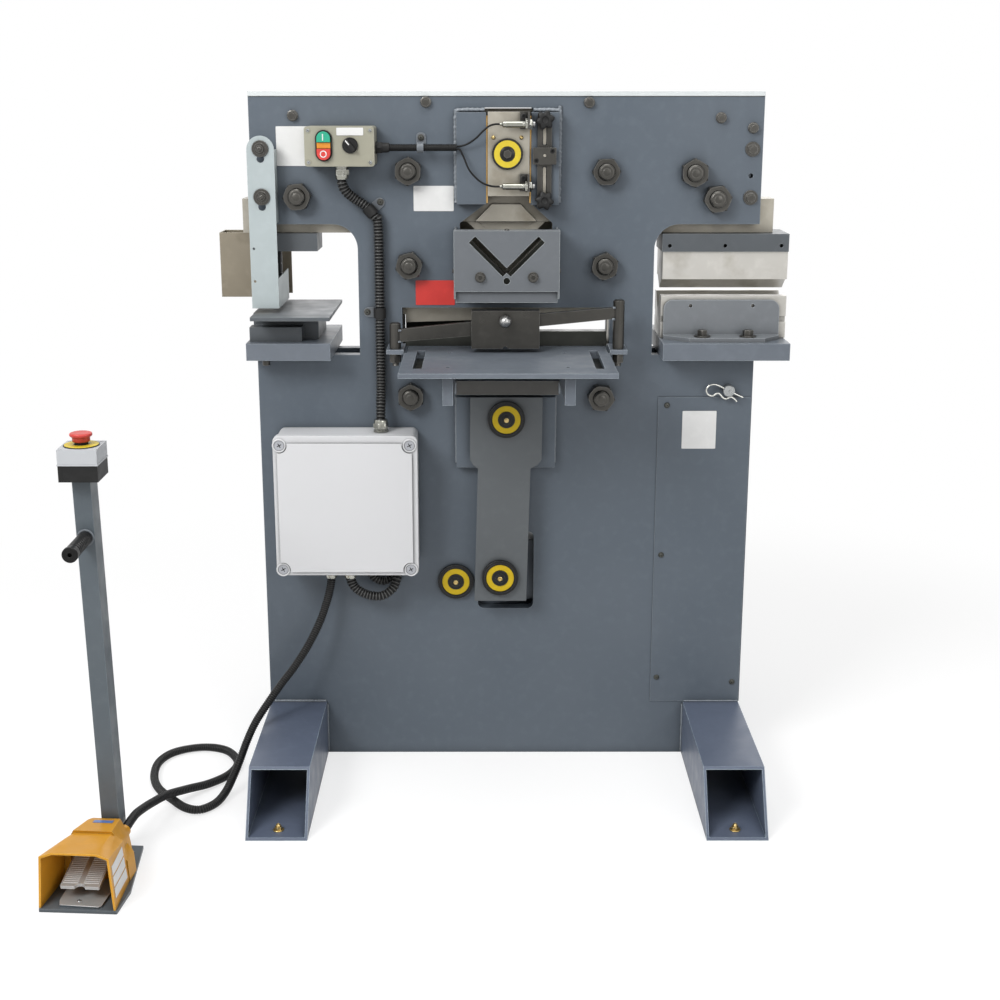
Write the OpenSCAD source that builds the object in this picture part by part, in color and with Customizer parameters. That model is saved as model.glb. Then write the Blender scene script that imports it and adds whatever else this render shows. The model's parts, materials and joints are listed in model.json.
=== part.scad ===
// Hydraulic ironworker with a punching station, an angle shear, a flat shear,
// a bending station and a free-standing foot pedal. Sizes are in millimetres.
// X runs to the right, Y runs to the back and Z runs up from the floor.

/* [Frame] */
// Width across the frame plates
frame_width = 940; // [934:1:950]
// Height of the frame plates above the floor
frame_height = 1290; // [1290:1:1310]
// Thickness of each frame plate
plate_thick = 25; // [23:1:27]
// Clear space between the two frame plates
plate_gap = 55; // [55:1:58]
// Thickness of the strip that covers the top
cover_thick = 4; // [3:1:6]
// Corner radius at the inner top of each side throat
throat_radius = 46; // [30:1:60]
// Depth of each side throat from the plate edge
throat_depth = 194; // [188:1:198]
// Height of the throat floor
throat_floor = 815; // [811:1:816]
// Height of the throat roof
throat_roof = 1060; // [1056:1:1066]

/* [Legs] */
// Outside size of the square leg tube
leg_size = 111; // [104:1:114]
// Wall of the leg tube
leg_wall = 5; // [4:0.5:8]
// Reach of each leg beyond the plates at the floor
leg_reach = 370; // [350:5:400]
// Length cut back at the top of each sloped leg end
leg_slope = 70; // [50:5:80]
// Radius of the floor anchor holes
anchor_radius = 7; // [5:0.5:9]

/* [Ram and lever] */
// Working stroke of the ram
stroke = 26; // [20:1:26]
// Thickness of the ram plate and of the lever
ram_thick = 50; // [46:1:50]
// Height of the underside of the ram arms
ram_floor = 1042; // [1040:1:1044]
// Running clearance of sliding and turning fits
run_gap = 0.1; // [0.05:0.01:0.1]
// Radius of the three lever pins
pin_radius = 17; // [15:1:18]
// Looseness of the lower link eye around its pin
eye_gap = 1.4; // [1.2:0.1:1.6]
// Thickness of the front and rear links
link_thick = 23; // [20:1:24]
// Radius of the round grease caps
cap_radius = 35; // [32:1:36]

/* [Cylinder] */
// Outside radius of the cylinder barrel
barrel_radius = 36.5; // [35:0.5:37]
// Bore radius of the cylinder
bore_radius = 31.5; // [28:0.5:32]
// Radius of the piston rod
rod_radius = 18; // [14:0.5:20]
// Radius of the rod pin
rod_pin_radius = 12; // [10:0.5:13]
// Radius of the upper cylinder pin
clevis_radius = 11; // [9:0.5:12]

/* [Fasteners] */
// Radius of the tie studs
stud_radius = 15; // [12:0.5:15]
// Width across the flats of the tie nuts
nut_flats = 46; // [42:1:50]
// Height of the tie nuts
nut_height = 24; // [18:1:26]
// Radius of the small frame bolts
bolt_radius = 6; // [5:0.5:6]
// Width across the flats of the small bolt heads
head_flats = 18; // [16:1:20]

/* [Stations] */
// Radius of the punch
punch_radius = 11; // [8:0.5:12]
// Clearance between punch and die on the radius
punch_gap = 0.4; // [0.2:0.1:0.8]
// Outside radius of the round die
die_radius = 20; // [18:0.5:21]
// Half width of the bolsters from front to back
bolster_half = 117.5; // [105:0.5:125]
// Thickness of the bolsters
bolster_thick = 32; // [28:1:34]
// Length of the bending tools
brake_length = 236; // [220:1:240]
// Half width of the groove in the bending die
groove_half = 30; // [24:1:34]
// Width of the feed table
table_width = 377; // [360:1:384]
// Depth of the feed table
table_depth = 284; // [260:1:300]

/* [Electrics] */
// Width of the electrical enclosure
box_width = 270; // [250:1:276]
// Height of the electrical enclosure
box_height = 262; // [250:1:264]
// Depth of the electrical enclosure
box_depth = 90; // [80:1:100]
// Wall of the enclosures
box_wall = 3; // [2:0.5:4]
// Width of the control box
control_width = 125; // [115:1:128]
// Height of the control box
control_height = 70; // [64:1:74]
// Radius of the emergency stop head
stop_radius = 18; // [17:0.5:21]

/* [Hidden] */
$fn = 48;
front = -(plate_gap / 2 + plate_thick);
rear = -front;
inner = plate_gap / 2;
half = frame_width / 2;
left_throat = -half + throat_depth;
right_throat = half - throat_depth;
leg_in = half - 2 - leg_size;
leg_out = half - 2;
leg_mid = (leg_in + leg_out) / 2;
anchor_y = rear + leg_reach - 32;
ram_half = ram_thick / 2;
face_gap = 0.5;
studs = [[-384, 1111], [-180, 1157], [-180, 985], [183, 1156], [345, 1154],
         [388, 1107], [183, 984], [-180, 737], [181, 735]];
bolts = [[-half + 80.5, frame_height - 34], [-146.6, frame_height - 10],
         [150.7, frame_height - 11], [half - 78.6, frame_height - 38],
         [half - 19.4, frame_height - 56], [half - 19.1, frame_height - 94],
         [half - 19.5, throat_roof + 48.6]];
spare_hole = [half - 20.4, frame_height - 142];
panel_screws = [[308, 718], [305, 419], [303, 163], [half - 16, 153]];
ram_pin_at = [1, 700.4];
link_pin_at = [-10.5, 388];
pivot_at = [-96.8, 365.4];
rod_pin_at = [423, 442.4];
clevis_at = [423, 748];
hose_hole = [-212, 384];
punch_x = -445;
top_cap_at = [1.7, 1188.5];
guide_x = [-33.9, 41.9];
blade_floor = 832;
blade_top = 860;
window_half = 195;
spacer_radius = 21;
slot_play = 3;
link_front_y = front - 22;
cap_thick = 8;
pin_end = -link_front_y + link_thick + face_gap;
bolster_top = throat_floor + bolster_thick;
brake_x = right_throat + 15;
plate_bolts = [brake_x + 75, brake_x + 160];
brake_mid = brake_x + brake_length / 2;
holder_floor = 1009;
guard_y = front - 110;
box_at = [-435, 404];
box_front = front - box_depth;
lid_thick = 22;
control_at = [-362, 1168];
control_front = front - 65;
post_at = [-685, -472.5];
post_lean = 0.95;
stop_at = [-691, -494];
stop_floor = 690;
stop_seat = 744;
pedal_at = [-703.5, -661.5];
pedal_turn = 4;
table_top = 831.5;
table_thick = 8.5;
arm_x = [-205, 207];
hose_radius = 8;
conduit_radius = 9.5;
oil_hose_radius = 8;
hose_play = 0.3;
lead_radius = 6.5;
pedal_route = [[-337, -92, 401], [-337, -92, 384], [-341, -93, 360], [-350, -98, 328],
    [-363, -108, 294], [-384, -118, 254], [-409, -132, 217], [-434, -148, 187],
    [-458, -168, 156], [-480, -188, 125], [-495, -206, 94], [-507, -222, 62],
    [-518, -236, 36], [-530, -266, 16], [-544, -296, 9], [-568, -320, 9], [-596, -312, 9],
    [-626, -280, 9], [-662, -234, 9], [-682, -182, 9], [-687, -122, 9], [-670, -78, 9],
    [-634, -54, 9], [-594, -50, 9], [-556, -70, 9], [-530, -120, 9], [-538, -172, 9], [-568, -216, 11],
    [-602, -258, 20], [-630, -306, 32], [-646, -360, 43], [-653, -400, 52],
    [-657, -430, 58], [-659, -455, 60.5], [-660.6, -478, 61], [-662.3, -503, 61]];
control_route = [[-299, -85, 1150], [-299, -85, 1137], [-293, -80, 1122],
    [-278, -72, 1108], [-258, -67, 1094], [-242, -67, 1076], [-236, -66, 1052],
    [-236, -66, 880], [-236, -70, 764], [-236, -86, 722], [-236, -92, 702],
    [-236, -92, 686]];
loop_route = [[-300, -92, 401], [-300, -92, 384], [-291, -92, 364], [-268, -92, 350],
    [-240, -92, 348], [-220, -86, 360], [-212, -76, 376], [-212, -62, 384],
    [-212, -48, 384], [-212, -30, 384]];
lead_route = [[-214, -86, 1200], [-90, -86, 1200]];
upper_cable = [[-89.7, -87, 1202.4], [-82, -87, 1202.8], [-70, -90, 1207], [-55, -94, 1217],
    [-42, -97, 1230], [-30, -99, 1239], [-20, -99, 1241.5], [-12.2, -99, 1241.5]];
lower_cable = [[-89.7, -87, 1197.6], [-84, -87, 1195.6], [-77, -90, 1182], [-67, -94, 1160],
    [-50, -97, 1142], [-34, -99, 1134], [-21, -99, 1131.5], [-12.2, -99, 1131.5]];
low_oil_route = [[423, 64.7, 514], [423, 84, 514], [412, 108, 500], [376, 134, 456],
    [320, 152, 392], [262, 160, 346], [222, 160, 336], [200.2, 160, 336]];
high_oil_route = [[423, 64.7, 676], [423, 84, 676], [421, 104, 652], [410, 130, 576],
    [372, 160, 470], [300, 182, 384], [232, 184, 360], [200.2, 184, 360]];

// Block between two corners
module blk(x0, x1, y0, y1, z0, z1) {
    translate([x0, y0, z0]) cube([x1 - x0, y1 - y0, z1 - z0]);
}

// Round bar along Y at x, z
module ybar(x, z, r, y0, y1, sides = 48) {
    translate([x, y1, z]) rotate([90, 0, 0]) cylinder(r = r, h = y1 - y0, $fn = sides);
}

// Round bar along Z at x, y
module zbar(x, y, r, z0, z1, sides = 48) {
    translate([x, y, z0]) cylinder(r = r, h = z1 - z0, $fn = sides);
}

// Round bar along X at y, z
module xbar(y, z, r, x0, x1, sides = 48) {
    translate([x0, y, z]) rotate([0, 90, 0]) cylinder(r = r, h = x1 - x0, $fn = sides);
}

// Flat outline in X and Z given a thickness in Y
module slab(y0, y1) {
    translate([0, y1, 0]) rotate([90, 0, 0]) linear_extrude(y1 - y0) children();
}

// Flat outline in Y and Z given a thickness in X
module side_slab(x0, x1) {
    translate([x0, 0, 0]) rotate([90, 0, 90]) linear_extrude(x1 - x0) children();
}

// Upright outline slot from z0 to z1 with round ends
module upright_slot(x, z0, z1, r) {
    translate([x - r, z0]) square([2 * r, z1 - z0]);
    translate([x, z0]) circle(r);
    translate([x, z1]) circle(r);
}

// Outline rectangle with round corners
module round_rect(x0, x1, z0, z1, r) {
    translate([x0 + r, z0]) square([x1 - x0 - 2 * r, z1 - z0]);
    translate([x0, z0 + r]) square([x1 - x0, z1 - z0 - 2 * r]);
    for (x = [x0 + r, x1 - r])
        for (z = [z0 + r, z1 - r])
            translate([x, z]) circle(r);
}

// Hexagon head along Y with its face toward the viewer at y0
module hex_y(x, z, flats, y0, y1) {
    translate([x, y1, z]) rotate([90, 0, 0])
        cylinder(r = flats / sqrt(3), h = y1 - y0, $fn = 6);
}

function unit(v) = v / norm(v);
function tangent(p, i) = unit(p[min(i + 1, len(p) - 1)] - p[max(i - 1, 0)]);
function square_off(v, t) = unit(v - t * (v * t));
function sides_of(p, first) = [for (i = 0, u = square_off(first, tangent(p, 0)); i < len(p);
    i = i + 1, u = i < len(p) ? square_off(u, tangent(p, i)) : u) u];

// Bent round tube through a list of points
module bent_tube(p, r, n = 10, first = [0, 1, 0]) {
    us = sides_of(p, first);
    rings = [for (i = [0:len(p) - 1]) for (k = [0:n - 1])
        let (a = 360 * k / n, w = cross(tangent(p, i), us[i]))
        p[i] + r * (cos(a) * us[i] + sin(a) * w)];
    walls = [for (i = [0:len(p) - 2]) for (k = [0:n - 1])
        [i * n + k, (i + 1) * n + k, (i + 1) * n + (k + 1) % n, i * n + (k + 1) % n]];
    last = (len(p) - 1) * n;
    polyhedron(points = rings, faces = concat([[for (k = [0:n - 1]) k]], walls,
        [[for (k = [n - 1:-1:0]) last + k]]), convexity = 6);
}

// Side throat cut in outline, s is the side
module throat_outline(s, edge) {
    mirror([s > 0 ? 0 : 1, 0]) {
        translate([abs(edge), throat_floor])
            square([half + 10 - abs(edge), throat_roof - throat_radius - throat_floor]);
        translate([abs(edge) + throat_radius, throat_floor])
            square([half + 10 - abs(edge) - throat_radius, throat_roof - throat_floor]);
        translate([abs(edge) + throat_radius, throat_roof - throat_radius])
            circle(throat_radius);
    }
}

// Frame plate outline shared by both plates
module plate_outline() {
    difference() {
        translate([-half, 0]) square([frame_width, frame_height]);
        throat_outline(-1, left_throat);
        throat_outline(1, right_throat);
        for (s = [-1, 1])
            translate([s > 0 ? leg_in : -half - 1, -1])
                square([half + 1 - leg_in, leg_size + 1]);
        polygon([[-40, 1270], [-40, 1096], [-86, 1062], [-86, 1026], [0, 940],
            [86, 1026], [86, 1062], [48, 1096], [48, 1270]]);
        translate([-window_half, blade_floor])
            square([2 * window_half, 905 - blade_floor]);
        upright_slot(ram_pin_at[0], ram_pin_at[1] - stroke, ram_pin_at[1],
            pin_radius + slot_play);
        round_rect(-54, 55.5, 308.5, 466, 12);
        translate(pivot_at) circle(pin_radius);
        translate(clevis_at) circle(clevis_radius);
        translate([305, 150]) square([157, 572]);
        translate(hose_hole) circle(11.5);
        for (p = studs)
            translate(p) circle(stud_radius);
    }
}

module front_plate() {
    color([0.36, 0.39, 0.44]) difference() {
        slab(front, -inner) plate_outline();
        for (p = bolts)
            ybar(p[0], p[1], bolt_radius, front - 1, -inner + 1);
        ybar(spare_hole[0], spare_hole[1], 4.5, front - 1, -inner + 1);
    }
}

module rear_plate() {
    color([0.36, 0.39, 0.44]) slab(inner, rear) plate_outline();
}

// One leg tube running from front to back with sloped ends
module leg(x0) {
    reach = rear + leg_reach;
    module side() {
        polygon([[-reach, 0], [reach, 0], [reach - leg_slope, leg_size],
            [-reach + leg_slope, leg_size]]);
    }
    difference() {
        side_slab(x0, x0 + leg_size) side();
        blk(x0 + leg_wall, x0 + leg_size - leg_wall, -reach - 1, reach + 1, leg_wall,
            leg_size - leg_wall);
        for (s = [-1, 1])
            zbar(x0 + leg_size / 2, s * anchor_y, anchor_radius, -1, leg_wall + 1);
    }
}

module frame_legs() {
    color([0.38, 0.41, 0.46]) {
        leg(-leg_out);
        leg(leg_in);
    }
}

module top_cover() {
    color([0.82, 0.86, 0.86]) blk(-half, half, front, rear, frame_height,
        frame_height + cover_thick);
}

module tie_studs() {
    color([0.27, 0.27, 0.27]) for (p = studs) {
        ybar(p[0], p[1], stud_radius, front - nut_height - 8, rear + nut_height + 8);
        difference() {
            ybar(p[0], p[1], spacer_radius, -inner, inner);
            ybar(p[0], p[1], stud_radius, -inner - 1, inner + 1);
        }
    }
}

// Tie nut with a raised round seat
module tie_nut(x, z, s) {
    seat = 3;
    y0 = s < 0 ? front - nut_height : rear;
    difference() {
        union() {
            hex_y(x, z, nut_flats, s < 0 ? y0 : y0 + seat, s < 0 ? front - seat
                : y0 + nut_height);
            ybar(x, z, nut_flats / 2 + 4, s < 0 ? front - seat : rear,
                s < 0 ? front : rear + seat);
        }
        ybar(x, z, stud_radius, y0 - 1, y0 + nut_height + 1);
    }
}

module tie_nuts() {
    color([0.27, 0.26, 0.25]) for (p = studs)
        for (s = [-1, 1])
            tie_nut(p[0], p[1], s);
}

module hex_bolts() {
    color([0.24, 0.23, 0.22]) {
        for (p = bolts) {
            ybar(p[0], p[1], bolt_radius, front, -inner);
            ybar(p[0], p[1], head_flats / 2 + 1, front - 2, front);
            hex_y(p[0], p[1], head_flats, front - 9, front - 2);
        }
        for (x = [-47.5, 47.5]) {
            ybar(x, 975, 9.5, guard_y - 2, guard_y);
            hex_y(x, 975, 11, guard_y - 8, guard_y - 2);
        }
        for (z = [1198, 1112]) {
            ybar(-446, z, 4.4, front - 46, front);
            ybar(-446, z, 8, front - 30.8, front);
            ybar(-446, z, 15, front - 36, front - 33.2);
            hex_y(-446, z, 13, front - 43, front - 36);
        }
        for (x = plate_bolts) {
            zbar(x, -85, 8, throat_floor - 8, bolster_top);
            zbar(x, -85, 15.5, bolster_top + 8, bolster_top + 11);
            zbar(x, -85, 8, bolster_top, bolster_top + 19);
            translate([x, -85, bolster_top + 11]) cylinder(r = 13.5, h = 8, $fn = 6);
        }
        zbar(-448, -90, 7, throat_floor - 12, throat_floor);
        for (i = [0, 1]) {
            zbar(arm_x[i], front - 60, 6, 806, i == 0 ? 872 : 914);
            translate([arm_x[i], front - 60, 812]) cylinder(r = 11, h = 15, $fn = 6);
            zbar(arm_x[i], front - 60, 12, 827, 829);
        }
    }
}

module gib_plates() {
    color([0.35, 0.38, 0.43]) {
        blk(-91, guide_x[0] - 3 - run_gap, front - 25, front, 1098, 1262);
        blk(guide_x[1] + 3 + run_gap, 96, front - 25, front, 1097, 1262);
        difference() {
            blk(-94, 94, front - 20, front, 600, 737);
            slab(front - 21, front + 1) upright_slot(ram_pin_at[0],
                ram_pin_at[1] - stroke, ram_pin_at[1], pin_radius + slot_play);
        }
    }
}

module wear_strips() {
    color([0.78, 0.58, 0.3]) {
        blk(guide_x[0] - 3 - run_gap, guide_x[0] - run_gap, front - 24, front, 1100, 1256);
        blk(guide_x[1] + run_gap, guide_x[1] + 3 + run_gap, front - 24, front, 1100, 1256);
        for (s = [-1, 1])
            for (x = [-120, 110])
                blk(x, x + 20, s < 0 ? -inner : ram_half + run_gap,
                    s < 0 ? -ram_half - run_gap : inner, 1170, 1250);
    }
}

module angle_guard() {
    sheet = 3;
    color([0.4, 0.43, 0.48]) difference() {
        union() {
            slab(guard_y, guard_y + sheet) difference() {
                translate([-92, 949]) square([184, 106]);
                translate([0, 980]) rotate(45) translate([2, -8]) square([86, 16]);
                translate([0, 980]) rotate(135) translate([2, -8]) square([86, 16]);
                translate([0, 968]) circle(6);
            }
            for (x = [-95, 92])
                blk(x, x + sheet, guard_y, front, 936, 1055);
            blk(-95, 95, guard_y, guard_y + 26, 1055, 1055 + sheet);
            blk(-92, 92, guard_y + 8, guard_y + 8 + sheet, 928, 949);
            blk(-92, 92, guard_y, guard_y + 11, 949, 949 + sheet);
            blk(-92, 92, front - 3, front, 915, 938);
        }
        for (x = [-47.5, 47.5])
            ybar(x, 975, 4, guard_y - 1, guard_y + 4);
        blk(-60, 60, front - 4, front + 1, 934, 1060);
    }
}

module fixed_blades() {
    y1 = -ram_half - face_gap;
    color([0.5, 0.5, 0.48]) {
        blk(-190, 190, front, y1, blade_floor, blade_top);
        slab(front, y1) polygon([[0, 940], [86, 1026], [86, 1051.5], [0, 965.5]]);
        slab(front, y1) polygon([[0, 940], [0, 965.5], [-86, 1051.5], [-86, 1026]]);
    }
}

module feed_table() {
    x0 = 1 - table_width / 2;
    y0 = front - table_depth;
    color([0.42, 0.46, 0.52]) difference() {
        blk(x0, x0 + table_width, y0, front, table_top - table_thick, table_top);
        for (x = [-157, 162]) {
            blk(x - 8, x + 8, front - 236, front - 50, table_top - table_thick - 1,
                table_top + 1);
        }
        for (x = [-104, 106])
            for (y = [front - 72, front - 222])
                zbar(x, y, 4, table_top - table_thick - 1, table_top + 1);
        blk(-226, x0 + 4.5, front - 75, front + 1, table_top - table_thick - 1,
            table_top + 1);
        blk(187, 226, front - 75, front + 1, table_top - table_thick - 1, table_top + 1);
    }
}

module front_brackets() {
    under = table_top - table_thick;
    color([0.42, 0.45, 0.51]) {
        blk(-112.7, -94.6, front - 250, front, 769, under);
        blk(100, 118.5, front - 250, front, 769, under);
        blk(-94.6, 100, front - 46, front - 36, 747, 774);
        for (x = arm_x)
            difference() {
                blk(x - 16, x + 16, front - 76, front, 829, 837);
                zbar(x, front - 60, 6, 828, 838);
            }
    }
}

module access_panel() {
    z0 = leg_size + 1;
    color([0.37, 0.4, 0.45]) difference() {
        blk(291, half - 2, front - 2, front, z0, 734);
        ybar(clevis_at[0], clevis_at[1], 16, front - 3, front + 1);
        for (p = panel_screws)
            ybar(p[0], p[1], 3, front - 3, front + 1);
    }
}

module small_screws() {
    color([0.6, 0.62, 0.62]) {
        for (p = panel_screws) {
            ybar(p[0], p[1], 3, front - 2, front);
            ybar(p[0], p[1], 5.5, front - 5, front - 2);
        }
        for (x = [box_at[0] + 13, box_at[0] + box_width - 13])
            for (z = [box_at[1] + 13, box_at[1] + box_height - 13])
                ybar(x, z, 9.5, box_front - 1.5, box_front + 4);
        for (x = [control_at[0] + 7, control_at[0] + control_width - 7])
            for (z = [control_at[1] + 7, control_at[1] + control_height - 7])
                ybar(x, z, 3, control_front - 1, control_front + 3);
    }
}

// Round cap with a raised rim and a hub, s picks front or back
module grease_cap(x, z, y, s, r) {
    a = s < 0 ? y - cap_thick : y;
    difference() {
        ybar(x, z, r, a, a + cap_thick);
        difference() {
            ybar(x, z, r - 5, s < 0 ? a - 1 : y + cap_thick - 1.5,
                s < 0 ? a + 1.5 : y + cap_thick + 1);
            ybar(x, z, r * 0.42, a - 2, a + cap_thick + 2);
        }
    }
    ybar(x, z, r * 0.2, s < 0 ? a - 4 : y + cap_thick, s < 0 ? a : y + cap_thick + 4);
}

module pivot_pin() {
    color([0.16, 0.16, 0.16]) {
        ybar(pivot_at[0], pivot_at[1], pin_radius, front, rear);
        grease_cap(pivot_at[0], pivot_at[1], front, -1, cap_radius);
        grease_cap(pivot_at[0], pivot_at[1], rear, 1, cap_radius);
    }
}

module cylinder_barrel() {
    x = rod_pin_at[0];
    color([0.3, 0.32, 0.36]) {
        difference() {
            union() {
                zbar(x, 0, barrel_radius, 484, 702);
                blk(x - 22, x + 22, -15, 15, 700, clevis_at[1]);
                ybar(x, clevis_at[1], 22, -15, 15);
                for (z = [514, 676])
                    ybar(x, z, 10, barrel_radius - 6, rear + 12);
            }
            zbar(x, 0, bore_radius, 500, 690);
            zbar(x, 0, rod_radius + run_gap, 480, 501);
            ybar(x, clevis_at[1], clevis_radius, -16, 16);
            for (z = [514, 676])
                ybar(x, z, 5, 20, rear + 13);
        }
    }
}

module clevis_pin() {
    x = clevis_at[0];
    z = clevis_at[1];
    color([0.72, 0.73, 0.74]) {
        difference() {
            union() {
                ybar(x, z, clevis_radius, front - 18, rear + 6);
                ybar(x, z, clevis_radius + 4, rear, rear + 6);
            }
            translate([x, front - 10, z]) rotate([0, 120, 0])
                cylinder(r = 1.7, h = 60, center = true);
        }
        translate([x, front - 10, z]) rotate([0, 30, 0]) {
            translate([-31, 0, 0]) rotate([0, 90, 0]) cylinder(r = 1.7, h = 56);
            translate([-20, 0, 13.2]) rotate([0, 90, 0]) cylinder(r = 1.7, h = 45);
            translate([25, 0, 6.6]) rotate([90, 0, 0]) rotate([0, 0, -90])
                rotate_extrude(angle = 180) translate([6.6, 0]) circle(1.7);
        }
    }
}

module control_box() {
    x0 = control_at[0];
    x1 = x0 + control_width;
    z0 = control_at[1];
    z1 = z0 + control_height;
    color([0.68, 0.68, 0.58]) difference() {
        slab(control_front, front) round_rect(x0, x1, z0, z1, 5);
        slab(control_front + 8, front - 3) round_rect(x0 + box_wall, x1 - box_wall,
            z0 + box_wall, z1 - box_wall, 2);
        blk(x0 - 1, x0 + 0.8, control_front + 9, control_front + 10.5, z0 - 1, z1 + 1);
        blk(x1 - 0.8, x1 + 1, control_front + 9, control_front + 10.5, z0 - 1, z1 + 1);
        for (z = [1192, 1217])
            ybar(-327, z, 8, control_front - 1, control_front + 9);
        ybar(-280, 1205, 8, control_front - 1, control_front + 9);
        for (x = [x0 + 7, x1 - 7])
            for (z = [z0 + 7, z1 - 7])
                ybar(x, z, 3, control_front - 1, control_front + 3);
    }
    color([0.1, 0.1, 0.1]) difference() {
        slab(control_front - 3, control_front) upright_slot(-327, 1192, 1217, 14.5);
        for (z = [1192, 1217])
            slab(control_front - 4, control_front + 1) translate([-327, z]) circle(11.2);
    }
}

module enclosure_base() {
    x0 = box_at[0];
    x1 = x0 + box_width;
    z0 = box_at[1];
    z1 = z0 + box_height;
    color([0.83, 0.84, 0.88]) difference() {
        slab(box_front + lid_thick, front) round_rect(x0, x1, z0, z1, 10);
        slab(box_front + lid_thick - 1, front - box_wall) round_rect(x0 + box_wall,
            x1 - box_wall, z0 + box_wall, z1 - box_wall, 6);
        zbar(-337, -92, 8, z0 - 1, z0 + 5);
        zbar(-300, -92, 9.5, z0 - 1, z0 + 5);
        zbar(-236, -92, 9.5, z1 - 5, z1 + 1);
    }
}

module enclosure_lid() {
    x0 = box_at[0];
    x1 = x0 + box_width;
    z0 = box_at[1];
    z1 = z0 + box_height;
    color([0.88, 0.88, 0.9]) difference() {
        slab(box_front, box_front + lid_thick) round_rect(x0, x1, z0, z1, 13);
        slab(box_front + box_wall + 3, box_front + lid_thick + 1) round_rect(x0 + 26,
            x1 - 26, z0 + box_wall, z1 - box_wall, 6);
        slab(box_front - 1, box_front + 1.5) difference() {
            round_rect(x0 + 5, x1 - 5, z0 + 5, z1 - 5, 9);
            round_rect(x0 + 6.5, x1 - 6.5, z0 + 6.5, z1 - 6.5, 8);
            for (x = [x0 + 13, x1 - 13])
                for (z = [z0 + 13, z1 - 13])
                    translate([x, z]) circle(14);
        }
        for (x = [x0 + 13, x1 - 13])
            for (z = [z0 + 13, z1 - 13]) {
                ybar(x, z, 9.5, box_front - 1, box_front + 4);
                difference() {
                    ybar(x, z, 14, box_front - 1, box_front + 1.2);
                    ybar(x, z, 11.5, box_front - 2, box_front + 2);
                }
            }
    }
}

// Hose gland standing down or up from a box face along Z
module gland_z(x, y, z0, z1, r, bore) {
    mid = (z0 + z1) / 2;
    difference() {
        union() {
            zbar(x, y, r, z0, mid);
            translate([x, y, mid]) cylinder(r = r + 2, h = (z1 - z0) * 0.3, $fn = 6);
            zbar(x, y, r - 1.5, mid, z1);
        }
        zbar(x, y, bore, z0 - 1, z1 + 1);
    }
}

// Hose clip strap around a hose, turned in the plate's plane, with its screw to one side
module hose_clip(x, y, z, side, turn = 0) {
    lug = 31;
    translate([x, 0, z]) rotate([0, turn, 0]) {
        difference() {
            union() {
                zbar(0, y, conduit_radius + 2.5, -9, 9);
                blk(min(0, side * lug), max(0, side * lug), front - 2.5, front, -9, 9);
            }
            zbar(0, y, conduit_radius + hose_play, -10, 10);
        }
        ybar(side * (lug - 7), 0, 4.5, front - 6, front - 2.5);
    }
}

module glands() {
    z1 = box_at[1] + box_height;
    color([0.5, 0.5, 0.48]) {
        gland_z(-299, -85, 1144, control_at[1], 13, conduit_radius + hose_play);
        gland_z(-236, -92, z1, z1 + 24, 14, conduit_radius + hose_play);
        gland_z(-300, -92, box_at[1] - 18, box_at[1], 13, conduit_radius + hose_play);
        gland_z(-337, -92, box_at[1] - 18, box_at[1], 12, hose_radius + hose_play);
        difference() {
            union() {
                xbar(-86, 1200, 11, control_at[0] + control_width, -225);
                xbar(-86, 1200, 9, -225, -212);
            }
            xbar(-86, 1200, 6.5, control_at[0] + control_width - 1, -211);
        }
        hose_clip(-236, -66, 897, -1);
        hose_clip(-250, -67, 1085, 1, -41.6);
        difference() {
            union() {
                xbar(-86, 1200, 9, -162, -150);
                blk(-162, -150, front - 2.5, front, 1192, 1224);
                blk(-162, -150, -86, front, 1189, 1192);
            }
            xbar(-86, 1200, 6.7, -163, -149);
        }
    }
}

module bolsters() {
    color([0.44, 0.47, 0.52]) {
        difference() {
            blk(-481, -325, -bolster_half, bolster_half, throat_floor, bolster_top);
            zbar(punch_x, 0, die_radius + 1, throat_floor - 1, bolster_top + 1);
        }
        difference() {
            blk(brake_x - 1, brake_x + 234, -bolster_half, bolster_half, throat_floor, bolster_top);
            for (x = plate_bolts)
                zbar(x, -85, 8, throat_floor - 1, bolster_top + 1);
        }
    }
}

module die_holder() {
    color([0.3, 0.31, 0.33]) {
        difference() {
            union() {
                blk(-470, -352, -62, 72, bolster_top, 893);
                blk(-477, -470, -40, 60, bolster_top, 893);
            }
            zbar(punch_x, 0, die_radius, bolster_top - 1, 894);
        }
        difference() {
            blk(-477, -380, -94, -62, bolster_top, 874);
            zbar(-448, -80, 7, bolster_top - 1, 862);
        }
    }
}

module punch_die() {
    color([0.62, 0.62, 0.6]) difference() {
        zbar(punch_x, 0, die_radius, bolster_top, 893);
        zbar(punch_x, 0, punch_radius + punch_gap, bolster_top - 1, 894);
    }
}

module gauge_table() {
    color([0.45, 0.5, 0.56]) difference() {
        blk(-467, -322, -147, 98, 893, 900);
        zbar(punch_x, 0, 19, 892, 901);
    }
}

module punch_guard() {
    sheet = 2;
    y0 = front - 33;
    color([0.78, 0.81, 0.8]) {
        difference() {
            slab(y0, y0 + sheet) union() {
                translate([-471, 908]) square([50, 288]);
                translate([-446, 1196]) circle(25);
            }
            for (z = [1198, 1112])
                slab(y0 - 1, y0 + sheet + 1) union() {
                    upright_slot(-446, z - 16, z, 4.6);
                    translate([-446, z - 18]) circle(7);
                }
            for (z = [958, 1018])
                ybar(-464, z, 2.5, y0 - 1, y0 + sheet + 1);
        }
        side_slab(-423, -421) polygon([[y0 + sheet, 908], [58, 908], [58, 966],
            [y0 + sheet, 962]]);
        blk(-423, -421, y0 + sheet, front - 0.5, 1064, 1196);
    }
}

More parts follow.
